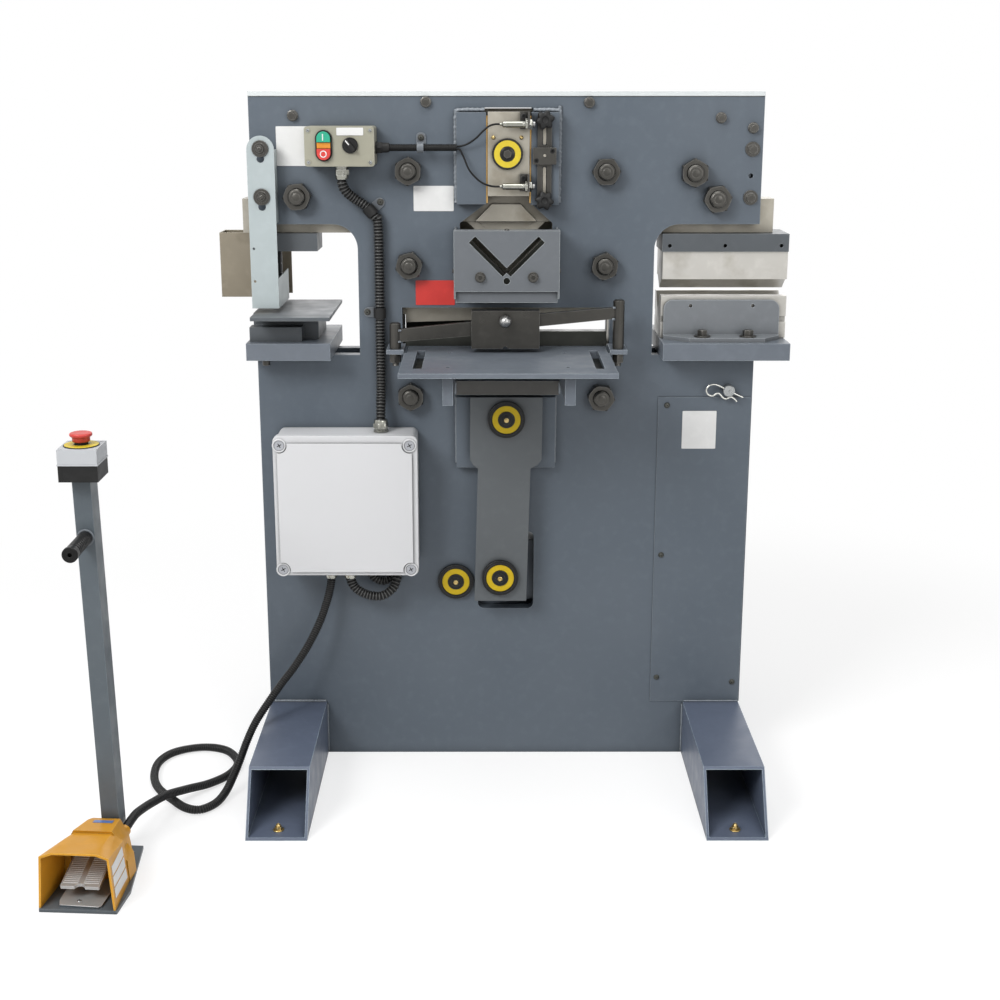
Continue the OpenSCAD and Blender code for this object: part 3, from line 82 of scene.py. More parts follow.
# base and second colour, roughness from and to, metal share, the bump that the surface shows and its depth,
# and the colour of the painted highlight along edges (on the pale cover a painted dark line) and how much
# of it shows
finishes = {
    "frame_paint": {"base": (0.092, 0.114, 0.140), "second": (0.112, 0.134, 0.160), "rough": (0.36, 0.5),
                    "bump": "peel", "depth": 0.00008, "edge": (0.34, 0.38, 0.41), "painted_edge_light": 0.8,
                    "shine": 0.4},
    "leg_paint": {"base": (0.096, 0.118, 0.170), "second": (0.114, 0.138, 0.192), "rough": (0.34, 0.48),
                  "bump": "peel", "depth": 0.00008, "edge": (0.62, 0.76, 0.82), "painted_edge_light": 1.0, "shine": 0.4},
    "table_paint": {"base": (0.125, 0.145, 0.172), "second": (0.155, 0.175, 0.204), "rough": (0.34, 0.48),
                    "bump": "peel", "depth": 0.00007, "edge": (0.48, 0.54, 0.58), "painted_edge_light": 1.0,
                    "shine": 0.4},
    "link_paint": {"base": (0.090, 0.100, 0.107), "second": (0.104, 0.114, 0.121), "rough": (0.4, 0.55),
                   "bump": "peel", "depth": 0.00008, "edge": (0.2, 0.21, 0.22), "painted_edge_light": 0.4},
    "guard_paint": {"base": (0.126, 0.138, 0.152), "second": (0.150, 0.162, 0.176), "rough": (0.32, 0.46),
                    "bump": "peel", "depth": 0.00006, "edge": (0.56, 0.60, 0.60), "painted_edge_light": 1.0,
                    "shine": 0.4},
    "angle_paint": {"base": (0.172, 0.185, 0.200), "second": (0.204, 0.218, 0.232), "rough": (0.34, 0.48),
                    "bump": "peel", "depth": 0.00007, "edge": (0.56, 0.60, 0.62), "painted_edge_light": 1.0,
                    "shine": 0.4},
    "post_paint": {"base": (0.092, 0.112, 0.128), "second": (0.112, 0.132, 0.148), "rough": (0.3, 0.45),
                   "bump": "peel", "depth": 0.00006, "edge": (0.26, 0.30, 0.33), "painted_edge_light": 0.5, "shine": 0.4},
    "pale_cover": {"base": (0.62, 0.66, 0.66), "second": (0.70, 0.73, 0.73), "rough": (0.35, 0.5),
                   "bump": "peel", "depth": 0.00005, "edge": (0.30, 0.32, 0.34), "painted_edge_light": 0.9},
    "dark_steel": {"base": (0.052, 0.050, 0.045), "second": (0.088, 0.084, 0.076), "rough": (0.26, 0.42),
                   "metal": 0.8, "bump": "brushed", "depth": 0.00004, "edge": (0.24, 0.235, 0.22),
                   "painted_edge_light": 0.9},
    "blade_dark": {"base": (0.030, 0.032, 0.026), "second": (0.055, 0.056, 0.048), "rough": (0.3, 0.45),
                   "metal": 0.5, "bump": "brushed", "depth": 0.00004, "edge": (0.3, 0.3, 0.27),
                   "painted_edge_light": 0.7},
    # lighter blacks for the crests of ribbed hoses: painted sheen on the ribs
    "rib_sheen": {"base": (0.040, 0.041, 0.040), "second": (0.085, 0.086, 0.084), "rough": (0.24, 0.36),
                  "bump": "peel", "depth": 0.00003, "shine": 0.35},
    "rib_sheen_dull": {"base": (0.014, 0.014, 0.014), "second": (0.032, 0.032, 0.032), "rough": (0.28, 0.4),
                 "bump": "peel", "depth": 0.00003, "shine": 0.3},
    "sheet_tan": {"base": (0.225, 0.195, 0.145), "second": (0.30, 0.265, 0.205), "rough": (0.34, 0.5),
                  "metal": 0.6, "bump": "brushed", "depth": 0.00005, "stain": (0.14, 0.12, 0.085),
                  "edge": (0.5, 0.48, 0.42), "painted_edge_light": 0.8},
    "inner_tan": {"base": (0.34, 0.315, 0.26), "second": (0.42, 0.395, 0.335), "rough": (0.4, 0.5),
                  "metal": 0.3, "bump": "brushed", "depth": 0.00004, "crease_shade": 0.6},
    "bar_brown": {"base": (0.092, 0.090, 0.084), "second": (0.118, 0.114, 0.106), "rough": (0.4, 0.55),
                  "bump": "peel", "depth": 0.00006, "edge": (0.22, 0.21, 0.2), "painted_edge_light": 0.6, "shine": 0.35},
    "holder_paint": {"base": (0.078, 0.088, 0.098), "second": (0.098, 0.108, 0.118), "rough": (0.36, 0.5),
                     "bump": "peel", "depth": 0.00007, "edge": (0.30, 0.33, 0.34), "painted_edge_light": 0.9,
                     "shine": 0.35},
    "raw_steel": {"base": (0.33, 0.305, 0.25), "second": (0.43, 0.405, 0.35), "rough": (0.34, 0.52),
                  "metal": 0.7, "bump": "brushed", "depth": 0.00005, "stain": (0.20, 0.17, 0.12),
                  "edge": (0.66, 0.64, 0.58), "painted_edge_light": 0.8},
    "tool_steel": {"base": (0.46, 0.445, 0.41), "second": (0.58, 0.565, 0.53), "rough": (0.28, 0.42),
                   "metal": 0.7, "bump": "brushed", "depth": 0.00004, "stain": (0.30, 0.27, 0.21),
                   "edge": (0.8, 0.79, 0.75), "painted_edge_light": 0.8},
    "bronze": {"base": (0.55, 0.33, 0.10), "second": (0.66, 0.42, 0.16), "rough": (0.3, 0.45),
               "metal": 0.7, "bump": "brushed", "depth": 0.00004},
    "zinc": {"base": (0.30, 0.32, 0.325), "second": (0.44, 0.45, 0.45), "rough": (0.2, 0.36),
             "metal": 0.85, "bump": "brushed", "depth": 0.00002, "edge": (0.75, 0.78, 0.78), "painted_edge_light": 0.8},
    "nickel": {"base": (0.26, 0.26, 0.225), "second": (0.42, 0.42, 0.375), "rough": (0.14, 0.26),
               "metal": 0.95, "bump": "brushed", "depth": 0.00002, "edge": (0.85, 0.85, 0.8), "painted_edge_light": 1.0},
    "guard_steel": {"base": (0.375, 0.425, 0.437), "second": (0.43, 0.485, 0.492), "rough": (0.35, 0.5),
                    "metal": 0.15, "bump": "peel", "depth": 0.00005, "edge": (0.66, 0.72, 0.72),
                    "painted_edge_light": 0.6},
    "control_grey": {"base": (0.30, 0.29, 0.225), "second": (0.34, 0.33, 0.26), "rough": (0.45, 0.6),
                     "bump": "peel", "depth": 0.0001, "edge": (0.5, 0.5, 0.42), "painted_edge_light": 0.4},
    "box_white": {"base": (0.665, 0.668, 0.680), "second": (0.675, 0.678, 0.690), "rough": (0.4, 0.5),
                  "bump": "peel", "depth": 0.00005, "shine": 0.3, "even": True},
    # box white made darker for the stop box: a painted shade
    "box_white_shaded": {"base": (0.50, 0.515, 0.535), "second": (0.52, 0.535, 0.555), "rough": (0.4, 0.5),
                   "bump": "peel", "depth": 0.00005, "shine": 0.3, "even": True},
    "black_plastic": {"base": (0.016, 0.016, 0.016), "second": (0.026, 0.026, 0.026), "rough": (0.35, 0.5),
                      "bump": "peel", "depth": 0.0001, "shine": 0.2},
    "black_rubber": {"base": (0.007, 0.007, 0.007), "second": (0.014, 0.014, 0.014), "rough": (0.34, 0.5),
                     "bump": "peel", "depth": 0.00012, "shine": 0.18},
    "green_button": {"base": (0.02, 0.33, 0.20), "second": (0.03, 0.38, 0.24), "rough": (0.25, 0.35),
                     "bump": "peel", "depth": 0.00003},
    "red_button": {"base": (0.56, 0.045, 0.035), "second": (0.64, 0.06, 0.05), "rough": (0.28, 0.4),
                   "bump": "peel", "depth": 0.00003},
    "hood_yellow": {"base": (0.62, 0.285, 0.018), "second": (0.70, 0.335, 0.028), "rough": (0.34, 0.48),
                    "bump": "cast", "depth": 0.00012, "edge": (0.86, 0.56, 0.14), "painted_edge_light": 0.8,
                    "shine": 0.25},
    "treadle_metal": {"base": (0.34, 0.34, 0.335), "second": (0.44, 0.44, 0.43), "rough": (0.36, 0.5),
                      "metal": 0.3, "bump": "cast", "depth": 0.00015, "edge": (0.72, 0.72, 0.72),
                      "painted_edge_light": 1.0},
    "motor_paint": {"base": (0.05, 0.075, 0.115), "second": (0.07, 0.1, 0.15), "rough": (0.4, 0.55),
                    "bump": "cast", "depth": 0.0003, "edge": (0.2, 0.23, 0.27), "painted_edge_light": 0.4},
    "cap_black": {"base": (0.010, 0.010, 0.010), "second": (0.020, 0.020, 0.019), "rough": (0.16, 0.28),
                  "bump": "peel", "depth": 0.00004, "shine": 0.22, "edge": (0.12, 0.12, 0.12), "painted_edge_light": 0.8},
    "sight_yellow": {"base": (0.66, 0.50, 0.02), "second": (0.72, 0.56, 0.04), "rough": (0.4, 0.5),
                     "bump": "peel", "depth": 0.00003},
    "cap_yellow": {"base": (0.62, 0.43, 0.012), "second": (0.70, 0.50, 0.02), "rough": (0.35, 0.5),
                   "bump": "peel", "depth": 0.00003, "shine": 0.25},
    "plate_white": {"base": (0.72, 0.72, 0.71), "second": (0.77, 0.77, 0.76), "rough": (0.3, 0.45),
                    "bump": "peel", "depth": 0.00003},
    "plate_red": {"base": (0.62, 0.035, 0.03), "second": (0.68, 0.05, 0.04), "rough": (0.3, 0.45),
                  "bump": "peel", "depth": 0.00003},
    "strip_blue": {"base": (0.09, 0.18, 0.46), "second": (0.12, 0.22, 0.52), "rough": (0.3, 0.4),
                   "bump": "peel", "depth": 0.00003},
    "amber_lens": {"base": (0.72, 0.27, 0.03), "second": (0.80, 0.33, 0.05), "rough": (0.12, 0.2),
                   "bump": "peel", "depth": 0.00002, "shine": 0.3},
    "weld_metal": {"base": (0.17, 0.19, 0.215), "second": (0.30, 0.33, 0.36), "rough": (0.35, 0.55),
                   "bump": "cast", "depth": 0.00015},
    "grey_plastic": {"base": (0.40, 0.41, 0.44), "second": (0.46, 0.47, 0.50), "rough": (0.4, 0.5),
                     "bump": "peel", "depth": 0.00005},
    "clip_grey": {"base": (0.115, 0.13, 0.15), "second": (0.16, 0.175, 0.19), "rough": (0.3, 0.45),
                  "bump": "peel", "depth": 0.00004, "edge": (0.4, 0.43, 0.46), "painted_edge_light": 0.8},
    "pin_wire": {"base": (0.50, 0.50, 0.47), "second": (0.66, 0.66, 0.62), "rough": (0.2, 0.34),
                 "metal": 0.85, "bump": "brushed", "depth": 0.00002},
    "brass": {"base": (0.58, 0.42, 0.16), "second": (0.70, 0.54, 0.25), "rough": (0.22, 0.35),
              "metal": 0.85, "bump": "brushed", "depth": 0.00002},
    "bright_steel": {"base": (0.30, 0.30, 0.30), "second": (0.42, 0.42, 0.41), "rough": (0.2, 0.34),
                     "metal": 0.85, "bump": "brushed", "depth": 0.00003},
}
# how each bump is laid: noise scale per metre in x, y and z, and its detail
bumps = {"peel": ((700, 700, 700), 2.0), "brushed": ((60, 900, 900), 3.0), "cast": ((420, 420, 420), 4.0)}


def startTree(owner):
    # empty node tree of a finish or the world: one call adds a node with its settings, one links
    owner.use_nodes = True
    tree = owner.node_tree
    tree.nodes.clear()

    def add(kind, **values):
        node = tree.nodes.new(kind)
        for key, value in values.items():
            if hasattr(node, key):
                setattr(node, key, value)
            else:
                node.inputs[key.replace("_", " ")].default_value = value
        return node

    return add, tree.links.new


def makeFinish(name, look):
    mat = bpy.data.materials.new(name)
    add, link = startTree(mat)
    out = add("ShaderNodeOutputMaterial")
    skin = add("ShaderNodeBsdfPrincipled", Metallic=look.get("metal", 0.0),
               Specular_IOR_Level=look.get("shine", 0.5))
    link(skin.outputs[0], out.inputs[0])
    coord = add("ShaderNodeTexCoord")

    def noiseAt(scale, detail, stretch=(1, 1, 1)):
        place = add("ShaderNodeMapping", Scale=stretch)
        link(coord.outputs["Object"], place.inputs["Vector"])
        cloud = add("ShaderNodeTexNoise", Scale=scale, Detail=detail)
        link(place.outputs[0], cloud.inputs["Vector"])
        return cloud.outputs["Fac"]

    def spread(value, low, high, fromLow=0.3, fromHigh=0.7):
        span = add("ShaderNodeMapRange", From_Min=fromLow, From_Max=fromHigh, To_Min=low, To_Max=high)
        link(value, span.inputs["Value"])
        return span.outputs[0]

    def blendColours(share, first, second):
        mix = add("ShaderNodeMix", data_type="RGBA")
        link(share, mix.inputs[0])
        for socket, value in ((mix.inputs[6], first), (mix.inputs[7], second)):
            if isinstance(value, tuple):
                socket.default_value = (*value, 1)
            else:
                link(value, socket)
        return mix.outputs[2]

    broad = noiseAt(3.5, 4.0)
    fine = noiseAt(55.0, 5.0)
    colour = blendColours(spread(broad, 0, 1), look["base"], look["second"])
    dusty = tuple(min(1, c * 1.12) for c in look["second"])
    if not look.get("even"):
        colour = blendColours(spread(fine, 0, 0.5, 0.5, 0.8), colour, dusty)
    if look.get("stain"):
        blot = noiseAt(16.0, 8.0)
        colour = blendColours(spread(blot, 0, 0.6, 0.55, 0.75), colour, look["stain"])
    # painted highlight: the bevel normal finds edges and turns them to the edge colour (on the pale cover a
    # painted dark line)
    if look.get("edge"):
        rounded = add("ShaderNodeBevel", samples=4, Radius=0.0018)
        shape = add("ShaderNodeNewGeometry")
        across = add("ShaderNodeVectorMath", operation="DOT_PRODUCT")
        link(rounded.outputs[0], across.inputs[0])
        link(shape.outputs["True Normal"], across.inputs[1])
        painted_edge_light = spread(across.outputs["Value"], look["painted_edge_light"], 0, 0.80, 0.97)
        colour = blendColours(painted_edge_light, colour, look["edge"])
    # painted shade: where ambient occlusion finds creases and gaps between parts the colour goes darker,
    # down to the base colour times the crease_shade share
    crease = add("ShaderNodeAmbientOcclusion", samples=5, Distance=0.022)
    crease_shade = tuple(c * look.get("crease_shade", 0.30) for c in look["base"])
    colour = blendColours(spread(crease.outputs["AO"], 0, 1, 0.15, 0.85), crease_shade, colour)
    link(colour, skin.inputs["Base Color"])
    link(spread(noiseAt(28.0, 4.0), *look["rough"]), skin.inputs["Roughness"])
    stretch, detail = bumps[look["bump"]]
    lay = add("ShaderNodeBump", Strength=0.6, Distance=look["depth"])
    link(noiseAt(1.0, detail, stretch), lay.inputs["Height"])
    link(lay.outputs[0], skin.inputs["Normal"])
    return mat


finishOf = {name: makeFinish(name, look) for name, look in finishes.items()}
slotOf = {s["node"]: s["material_slot"] for s in frame["record"]["subparts"]}
print("finishes made,", len(finishOf))


def addPiece(name, bm, finish, body, replaces=(), smooth=35, soften=0.0, parts=None, blend=None):
    # bm is in millimetres; parts gives more finishes by material index
    bmesh.ops.scale(bm, vec=(mm, mm, mm), verts=bm.verts)
    bmesh.ops.recalc_face_normals(bm, faces=bm.faces)
    mesh = bpy.data.meshes.new(name)
    bm.to_mesh(mesh)
    bm.free()
    piece = bpy.data.objects.new(name, mesh)
    bpy.context.scene.collection.objects.link(piece)
    for look in [finish, *(parts or [])]:
        mesh.materials.append(finishOf[look])
    if soften:
        edge = piece.modifiers.new("soften", "BEVEL")
        edge.width = soften * mm
        edge.segments = 2
        edge.limit_method = "ANGLE"
        edge.angle_limit = math.radians(32)
    mesh.polygons.foreach_set("use_smooth", [True] * len(mesh.polygons))
    mesh.set_sharp_from_angle(angle=math.radians(smooth))
    if blend:
        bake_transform(piece)
    else:
        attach(piece, body)
    if replaces:
        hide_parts(*replaces)
    return piece


def turnTo(axis):
    # rotation that lays the Z axis of a turned part along x, y or z
    turns = {"z": Matrix.Identity(3), "-z": Matrix.Rotation(math.pi, 3, "X"),
             "y": Matrix.Rotation(-math.pi / 2, 3, "X"), "-y": Matrix.Rotation(math.pi / 2, 3, "X"),
             "x": Matrix.Rotation(math.pi / 2, 3, "Y"), "-x": Matrix.Rotation(-math.pi / 2, 3, "Y")}
    return turns[axis]


def along(centre, axis, distance):
    return Vector(centre) + turnTo(axis) @ Vector((0, 0, distance))


def lathe(bm, centre, axis, profile, sides=40, index=0, turn=None):
    # profile is (radius, height) along the axis from the centre; a radius of 0 closes the end
    spin = turn or turnTo(axis)
    rings = []
    for radius, height in profile:
        count = 1 if radius == 0 else sides
        ring = []
        for k in range(count):
            a = 2 * math.pi * k / sides
            point = Vector((radius * math.cos(a), radius * math.sin(a), height))
            ring.append(bm.verts.new(spin @ point + Vector(centre)))
        rings.append(ring)
    for low, high in zip(rings, rings[1:]):
        for k in range(sides):
            a, b = low[k % len(low)], low[(k + 1) % len(low)]
            c, d = high[(k + 1) % len(high)], high[k % len(high)]
            corners = list(dict.fromkeys([a, b, c, d]))
            if len(corners) > 2:
                bm.faces.new(corners).material_index = index


def joinRings(bm, rings, index=0, bands=None):
    # skin between rings of the same count, bands gives a finish for each step
    count = len(rings[0])
    for step, (low, high) in enumerate(zip(rings, rings[1:])):
        for k in range(count):
            face = bm.faces.new([low[k], low[(k + 1) % count], high[(k + 1) % count], high[k]])
            face.material_index = bands[step] if bands else index


def hexHead(bm, centre, axis, flats, height, index=0, turn=0, bore=None, sides=48):
    # hexagon with its corners turned down at the free end; turn in degrees, bore leaves a countersunk hole
    spin = turnTo(axis)
    half = flats / 2
    corner = half / math.cos(math.pi / 6)
    drop = (corner - half) * 0.5
    levels = [(corner, 0), (corner, height - drop), (half + (corner - half) * 0.3, height)]
    if bore:
        levels += [(bore + flats * 0.022, height), (bore, height - flats * 0.022), (bore, height * 0.3)]
    rings = []
    for limit, level in levels:
        ring = []
        for k in range(sides):
            a = 2 * math.pi * k / sides
            radius = min(limit, half / math.cos(a % (math.pi / 3) - math.pi / 6))
            b = a + math.radians(turn)
            ring.append(bm.verts.new(spin @ Vector((radius * math.cos(b), radius * math.sin(b), level))
                                     + Vector(centre)))
        rings.append(ring)
    joinRings(bm, rings, index)
    bm.faces.new(rings[0][::-1]).material_index = index
    if not bore:
        bm.faces.new(rings[-1]).material_index = index


def washer(bm, centre, axis, outer, inner, thick, index=0, sides=40):
    lathe(bm, centre, axis, [(inner, 0), (outer - 0.3, 0), (outer, 0.3), (outer, thick - 0.5),
                             (outer - 0.5, thick), (inner, thick)], sides, index)


def threads(bm, centre, axis, radius, length, pitch=1.8, depth=0.4, index=0, sides=32, nose=1.2):
    count = max(1, int(length / pitch) - 1)
    profile = [(0, 0), (radius - depth, 0)]
    for k in range(count):
        profile += [(radius, (k + 0.35) * pitch), (radius, (k + 0.55) * pitch),
                    (radius - depth, (k + 0.95) * pitch)]
    profile += [(radius, length - nose), (radius - nose, length - 0.2), (radius - nose - 0.5, length),
                (radius * 0.5, length - 0.5), (radius * 0.46, length - 0.2), (0, length - 0.2)]
    lathe(bm, centre, axis, profile, sides, index)


def socketHead(bm, at, r):
    # low screw head on its washer, a hole in the middle
    washer(bm, at, "-y", r + 1.8, 2.6, 0.9, 2)
    lathe(bm, along(at, "-y", 0.9), "-y", [(r, 0), (r, 1.6), (r - 0.8, 2.8), (r - 2.4, 3.0), (r - 2.4, 1.2),
                                           (0, 1.2)], 28, 3)


def crossSlot(bm, centre, axis, size, width, index):
    # near-black cross on a screw head, its face a tenth above the head: painted shade of the cross recess
    spin = turnTo(axis)
    for a in (0.5, 2.07):
        c, s = math.cos(a), math.sin(a)
        low, high = [], []
        for px, py in ((-size, -width), (size, -width), (size, width), (-size, width)):
            flat = Vector((px * c - py * s, px * s + py * c, 0))
            low.append(bm.verts.new(spin @ (flat + Vector((0, 0, -0.4))) + Vector(centre)))
            high.append(bm.verts.new(spin @ (flat + Vector((0, 0, 0.1))) + Vector(centre)))
        bm.faces.new(high).material_index = index
        for k in range(4):
            bm.faces.new([low[k], low[(k + 1) % 4], high[(k + 1) % 4], high[k]]).material_index = index


def block(bm, x, y, z, index=0, turn=None):
    # box between (x0, x1), (y0, y1) and (z0, z1)
    made = bmesh.ops.create_cube(bm, size=1)["verts"]
    for v in made:
        v.co = Vector(((x[0] + x[1]) / 2 + v.co.x * (x[1] - x[0]),
                       (y[0] + y[1]) / 2 + v.co.y * (y[1] - y[0]),
                       (z[0] + z[1]) / 2 + v.co.z * (z[1] - z[0])))
        if turn:
            v.co = turn @ v.co
    for face in {f for v in made for f in v.link_faces}:
        face.material_index = index
    return made


def slab(bm, outline, y0, y1, index=0, place=None):
    # outline in x and z given a thickness along y, or placed by a matrix
    low = [bm.verts.new(Vector((p[0], y0, p[1]))) for p in outline]
    high = [bm.verts.new(Vector((p[0], y1, p[1]))) for p in outline]
    count = len(outline)
    faces = [bm.faces.new(low), bm.faces.new(high[::-1])]
    for k in range(count):
        faces.append(bm.faces.new([low[k], high[k], high[(k + 1) % count], low[(k + 1) % count]]))
    for face in faces:
        face.material_index = index
    if place:
        for v in low + high:
            v.co = place @ v.co


def plate(bm, outline, z0, z1, index=0, place=None):
    # outline in x and y given a thickness along z
    upright = Matrix(((1, 0, 0, 0), (0, 0, 1, 0), (0, 1, 0, 0), (0, 0, 0, 1)))
    slab(bm, outline, z0, z1, index, (place or Matrix.Identity(4)) @ upright)


def hoop(bm, outer, inner, y0, y1, index=0):
    # flat ring between two outlines of the same count in x and z
    rings = [[bm.verts.new(Vector((p[0], y, p[1]))) for p in line]
             for line, y in ((inner, y1), (outer, y1), (outer, y0), (inner, y0))]
    joinRings(bm, [*rings, rings[0]], index)


def roundedOutline(x, z, r, steps=6):
    points = []
    for cx, cz, start in ((x[1] - r, z[0] + r, -90), (x[1] - r, z[1] - r, 0),
                          (x[0] + r, z[1] - r, 90), (x[0] + r, z[0] + r, 180)):
        for k in range(steps + 1):
            a = math.radians(start + 90 * k / steps)
            points.append((cx + r * math.cos(a), cz + r * math.sin(a)))
    return points


def circle(x, z, r, count=48):
    turns = [2 * math.pi * k / count for k in range(count)]
    return [(x + r * math.cos(a), z + r * math.sin(a)) for a in turns]


def smoothPath(points, spacing):
    # Catmull-Rom curve through the points, cut into even steps
    pts = [Vector(p) for p in points]
    ends = [2 * pts[0] - pts[1], *pts, 2 * pts[-1] - pts[-2]]
    fineLine = []
    for k in range(1, len(ends) - 2):
        p0, p1, p2, p3 = ends[k - 1:k + 3]
        for s in range(24):
            t = s / 24
            fineLine.append(0.5 * (2 * p1 + (p2 - p0) * t + (2 * p0 - 5 * p1 + 4 * p2 - p3) * t * t
                                   + (3 * p1 - p0 - 3 * p2 + p3) * t ** 3))
    fineLine.append(pts[-1])
    total = sum((b - a).length for a, b in zip(fineLine, fineLine[1:]))
    steps = max(2, round(total / spacing))
    even, gone, k = [fineLine[0]], 0.0, 0
    for step in range(1, steps):
        goal = total * step / steps
        while gone + (fineLine[k + 1] - fineLine[k]).length < goal:
            gone += (fineLine[k + 1] - fineLine[k]).length
            k += 1
        part = fineLine[k + 1] - fineLine[k]
        even.append(fineLine[k] + part * ((goal - gone) / part.length))
    even.append(fineLine[-1])
    return even, total


def sweep(bm, line, radii, sides=14, index=0, bands=None):
    # round tube along a line with one radius for each of its points, bands gives a finish for each step
    side = None
    rings = []
    for k, point in enumerate(line):
        ahead = (line[min(k + 1, len(line) - 1)] - line[max(k - 1, 0)]).normalized()
        if side is None:
            side = ahead.orthogonal()
        side = (side - ahead * side.dot(ahead)).normalized()
        up = ahead.cross(side)
        ring = []
        for s in range(sides):
            a = 2 * math.pi * s / sides
            ring.append(bm.verts.new(point + radii[k] * (math.cos(a) * side + math.sin(a) * up)))
        rings.append(ring)
    joinRings(bm, rings, index, bands)
    bm.faces.new(rings[0][::-1]).material_index = index
    bm.faces.new(rings[-1]).material_index = index


def ribbedHose(bm, route, radius, pitch=6.0, groove=1.8, sides=18, rib=1):
    # corrugated hose: a rib and a groove each pitch; route in metres, mesh in millimetres; the crest faces
    # take material index rib, and where that is a lighter finish it paints their sheen
    line, total = smoothPath([tuple(c * 1000 for c in p) for p in route], pitch / 6)
    depth = [0, 0, groove * 0.85, groove, groove * 0.85, 0]
    radii = [radius - depth[k % 6] for k in range(len(line))]
    sweep(bm, line, radii, sides, bands=[rib if k % 6 in (0, 5) else 0 for k in range(len(line))])
    return total * mm


def weldBead(bm, points, radius, seed=0.0, index=0):
    # scalloped bead along the points, uneven as a hand weld is
    line = smoothPath(points, radius * 0.4)[0]
    radii = []
    for k, p in enumerate(line):
        scallop = 0.5 + 0.5 * math.cos(k * 0.4 / 1.5 * 2 * math.pi / 1.3)
        radii.append(radius * (0.78 + 0.2 * scallop + 0.25 * noise.noise(p * 0.11 + Vector((seed, 0, 0)))))
    sweep(bm, line, radii, 8, index)


# route points in metres, as the source lays them
pedalHose = {"radius": 8.0, "exit": (-0.337, -0.092, 0.401), "route": [
    (-0.337, -0.092, 0.401), (-0.337, -0.092, 0.384), (-0.341, -0.093, 0.360), (-0.350, -0.098, 0.328),
    (-0.363, -0.108, 0.294), (-0.384, -0.118, 0.254), (-0.409, -0.132, 0.217), (-0.434, -0.148, 0.187),
    (-0.458, -0.168, 0.156), (-0.480, -0.188, 0.125), (-0.495, -0.206, 0.094), (-0.507, -0.222, 0.062),
    (-0.518, -0.236, 0.036), (-0.530, -0.266, 0.016), (-0.544, -0.296, 0.009), (-0.568, -0.320, 0.009),
    (-0.596, -0.312, 0.009), (-0.626, -0.280, 0.009), (-0.662, -0.234, 0.009), (-0.682, -0.182, 0.009),
    (-0.687, -0.122, 0.009), (-0.670, -0.078, 0.009), (-0.634, -0.054, 0.009), (-0.594, -0.050, 0.009),
    (-0.556, -0.070, 0.009), (-0.530, -0.120, 0.009), (-0.538, -0.172, 0.009), (-0.568, -0.216, 0.011),
    (-0.602, -0.258, 0.020), (-0.630, -0.306, 0.032), (-0.646, -0.360, 0.043), (-0.653, -0.400, 0.052),
    (-0.657, -0.430, 0.058), (-0.659, -0.455, 0.0605), (-0.6606, -0.478, 0.061), (-0.6623, -0.503, 0.061)]}


def makePedalHose(h):
    bm = bmesh.new()
    total = ribbedHose(bm, h["route"], h["radius"], pitch=4.2, groove=1.2)
    hose = addPiece("pedalHoseRibbed", bm, "black_rubber", "frame", replaces=("pedal_hose",), smooth=60,
                    parts=["rib_sheen_dull"])
    fine = [tuple(p) for p in smoothPath(h["route"], 0.006)[0]]
    print("pedal hose length", round(total, 3))


makePedalHose(pedalHose)

# the two leads from the end of the lead conduit to the sensors on the ram
sensorLeads = {"radius": 1.8, "upperLead": [
    (-0.0897, -0.087, 1.2024), (-0.082, -0.087, 1.2028), (-0.070, -0.090, 1.207), (-0.055, -0.094, 1.217),
    (-0.042, -0.097, 1.230), (-0.030, -0.099, 1.239), (-0.020, -0.099, 1.2415), (-0.0122, -0.099, 1.2415)],
    "lowerLead": [
    (-0.0897, -0.087, 1.1976), (-0.084, -0.087, 1.1956), (-0.077, -0.090, 1.182), (-0.067, -0.094, 1.160),
    (-0.050, -0.097, 1.142), (-0.034, -0.099, 1.134), (-0.021, -0.099, 1.1315), (-0.0122, -0.099, 1.1315)]}


def makeSensorLeads(s):
    for name in ("upperLead", "lowerLead"):
        route = s[name]
        bm = bmesh.new()
        line, total = smoothPath([tuple(c * 1000 for c in p) for p in route], 1.6)
        sweep(bm, line, [s["radius"]] * len(line), 12)
        lead = addPiece(name, bm, "black_rubber", "frame", smooth=60, replaces=("sensor_cables",),
                        blend=("frame", "ram", (-0.0897, -0.093, 1.20), (-0.0122, -0.099, 1.20)))
        fine = [tuple(p) for p in smoothPath(route, 0.002)[0]]


makeSensorLeads(sensorLeads)

conduits = {
    "control": {"radius": 9.5, "route": [
        (-0.299, -0.085, 1.150), (-0.299, -0.085, 1.137), (-0.293, -0.080, 1.122), (-0.278, -0.072, 1.108),
        (-0.258, -0.067, 1.094), (-0.242, -0.067, 1.076), (-0.236, -0.066, 1.052), (-0.236, -0.066, 0.880),
        (-0.236, -0.070, 0.764), (-0.236, -0.086, 0.722), (-0.236, -0.092, 0.702),
        (-0.236, -0.092, 0.686)]},
    "loop": {"radius": 9.5, "route": [
        (-0.300, -0.092, 0.401), (-0.300, -0.092, 0.384), (-0.291, -0.092, 0.364), (-0.268, -0.092, 0.350),
        (-0.240, -0.092, 0.348), (-0.220, -0.086, 0.360), (-0.212, -0.076, 0.376), (-0.212, -0.062, 0.384),
        (-0.212, -0.048, 0.384), (-0.212, -0.030, 0.384)]},
    "tail": {"radius": 8.5, "route": [
        (-0.262, -0.074, 0.404), (-0.262, -0.074, 0.392), (-0.255, -0.072, 0.378), (-0.240, -0.068, 0.370),
        (-0.226, -0.064, 0.373), (-0.218, -0.058, 0.383), (-0.216, -0.054, 0.394)]},
    "lead": {"radius": 6.5, "pitch": 3.0, "groove": 0.7, "rib": 0, "route": [
        (-0.214, -0.086, 1.200), (-0.150, -0.086, 1.200), (-0.090, -0.086, 1.200)]},
}
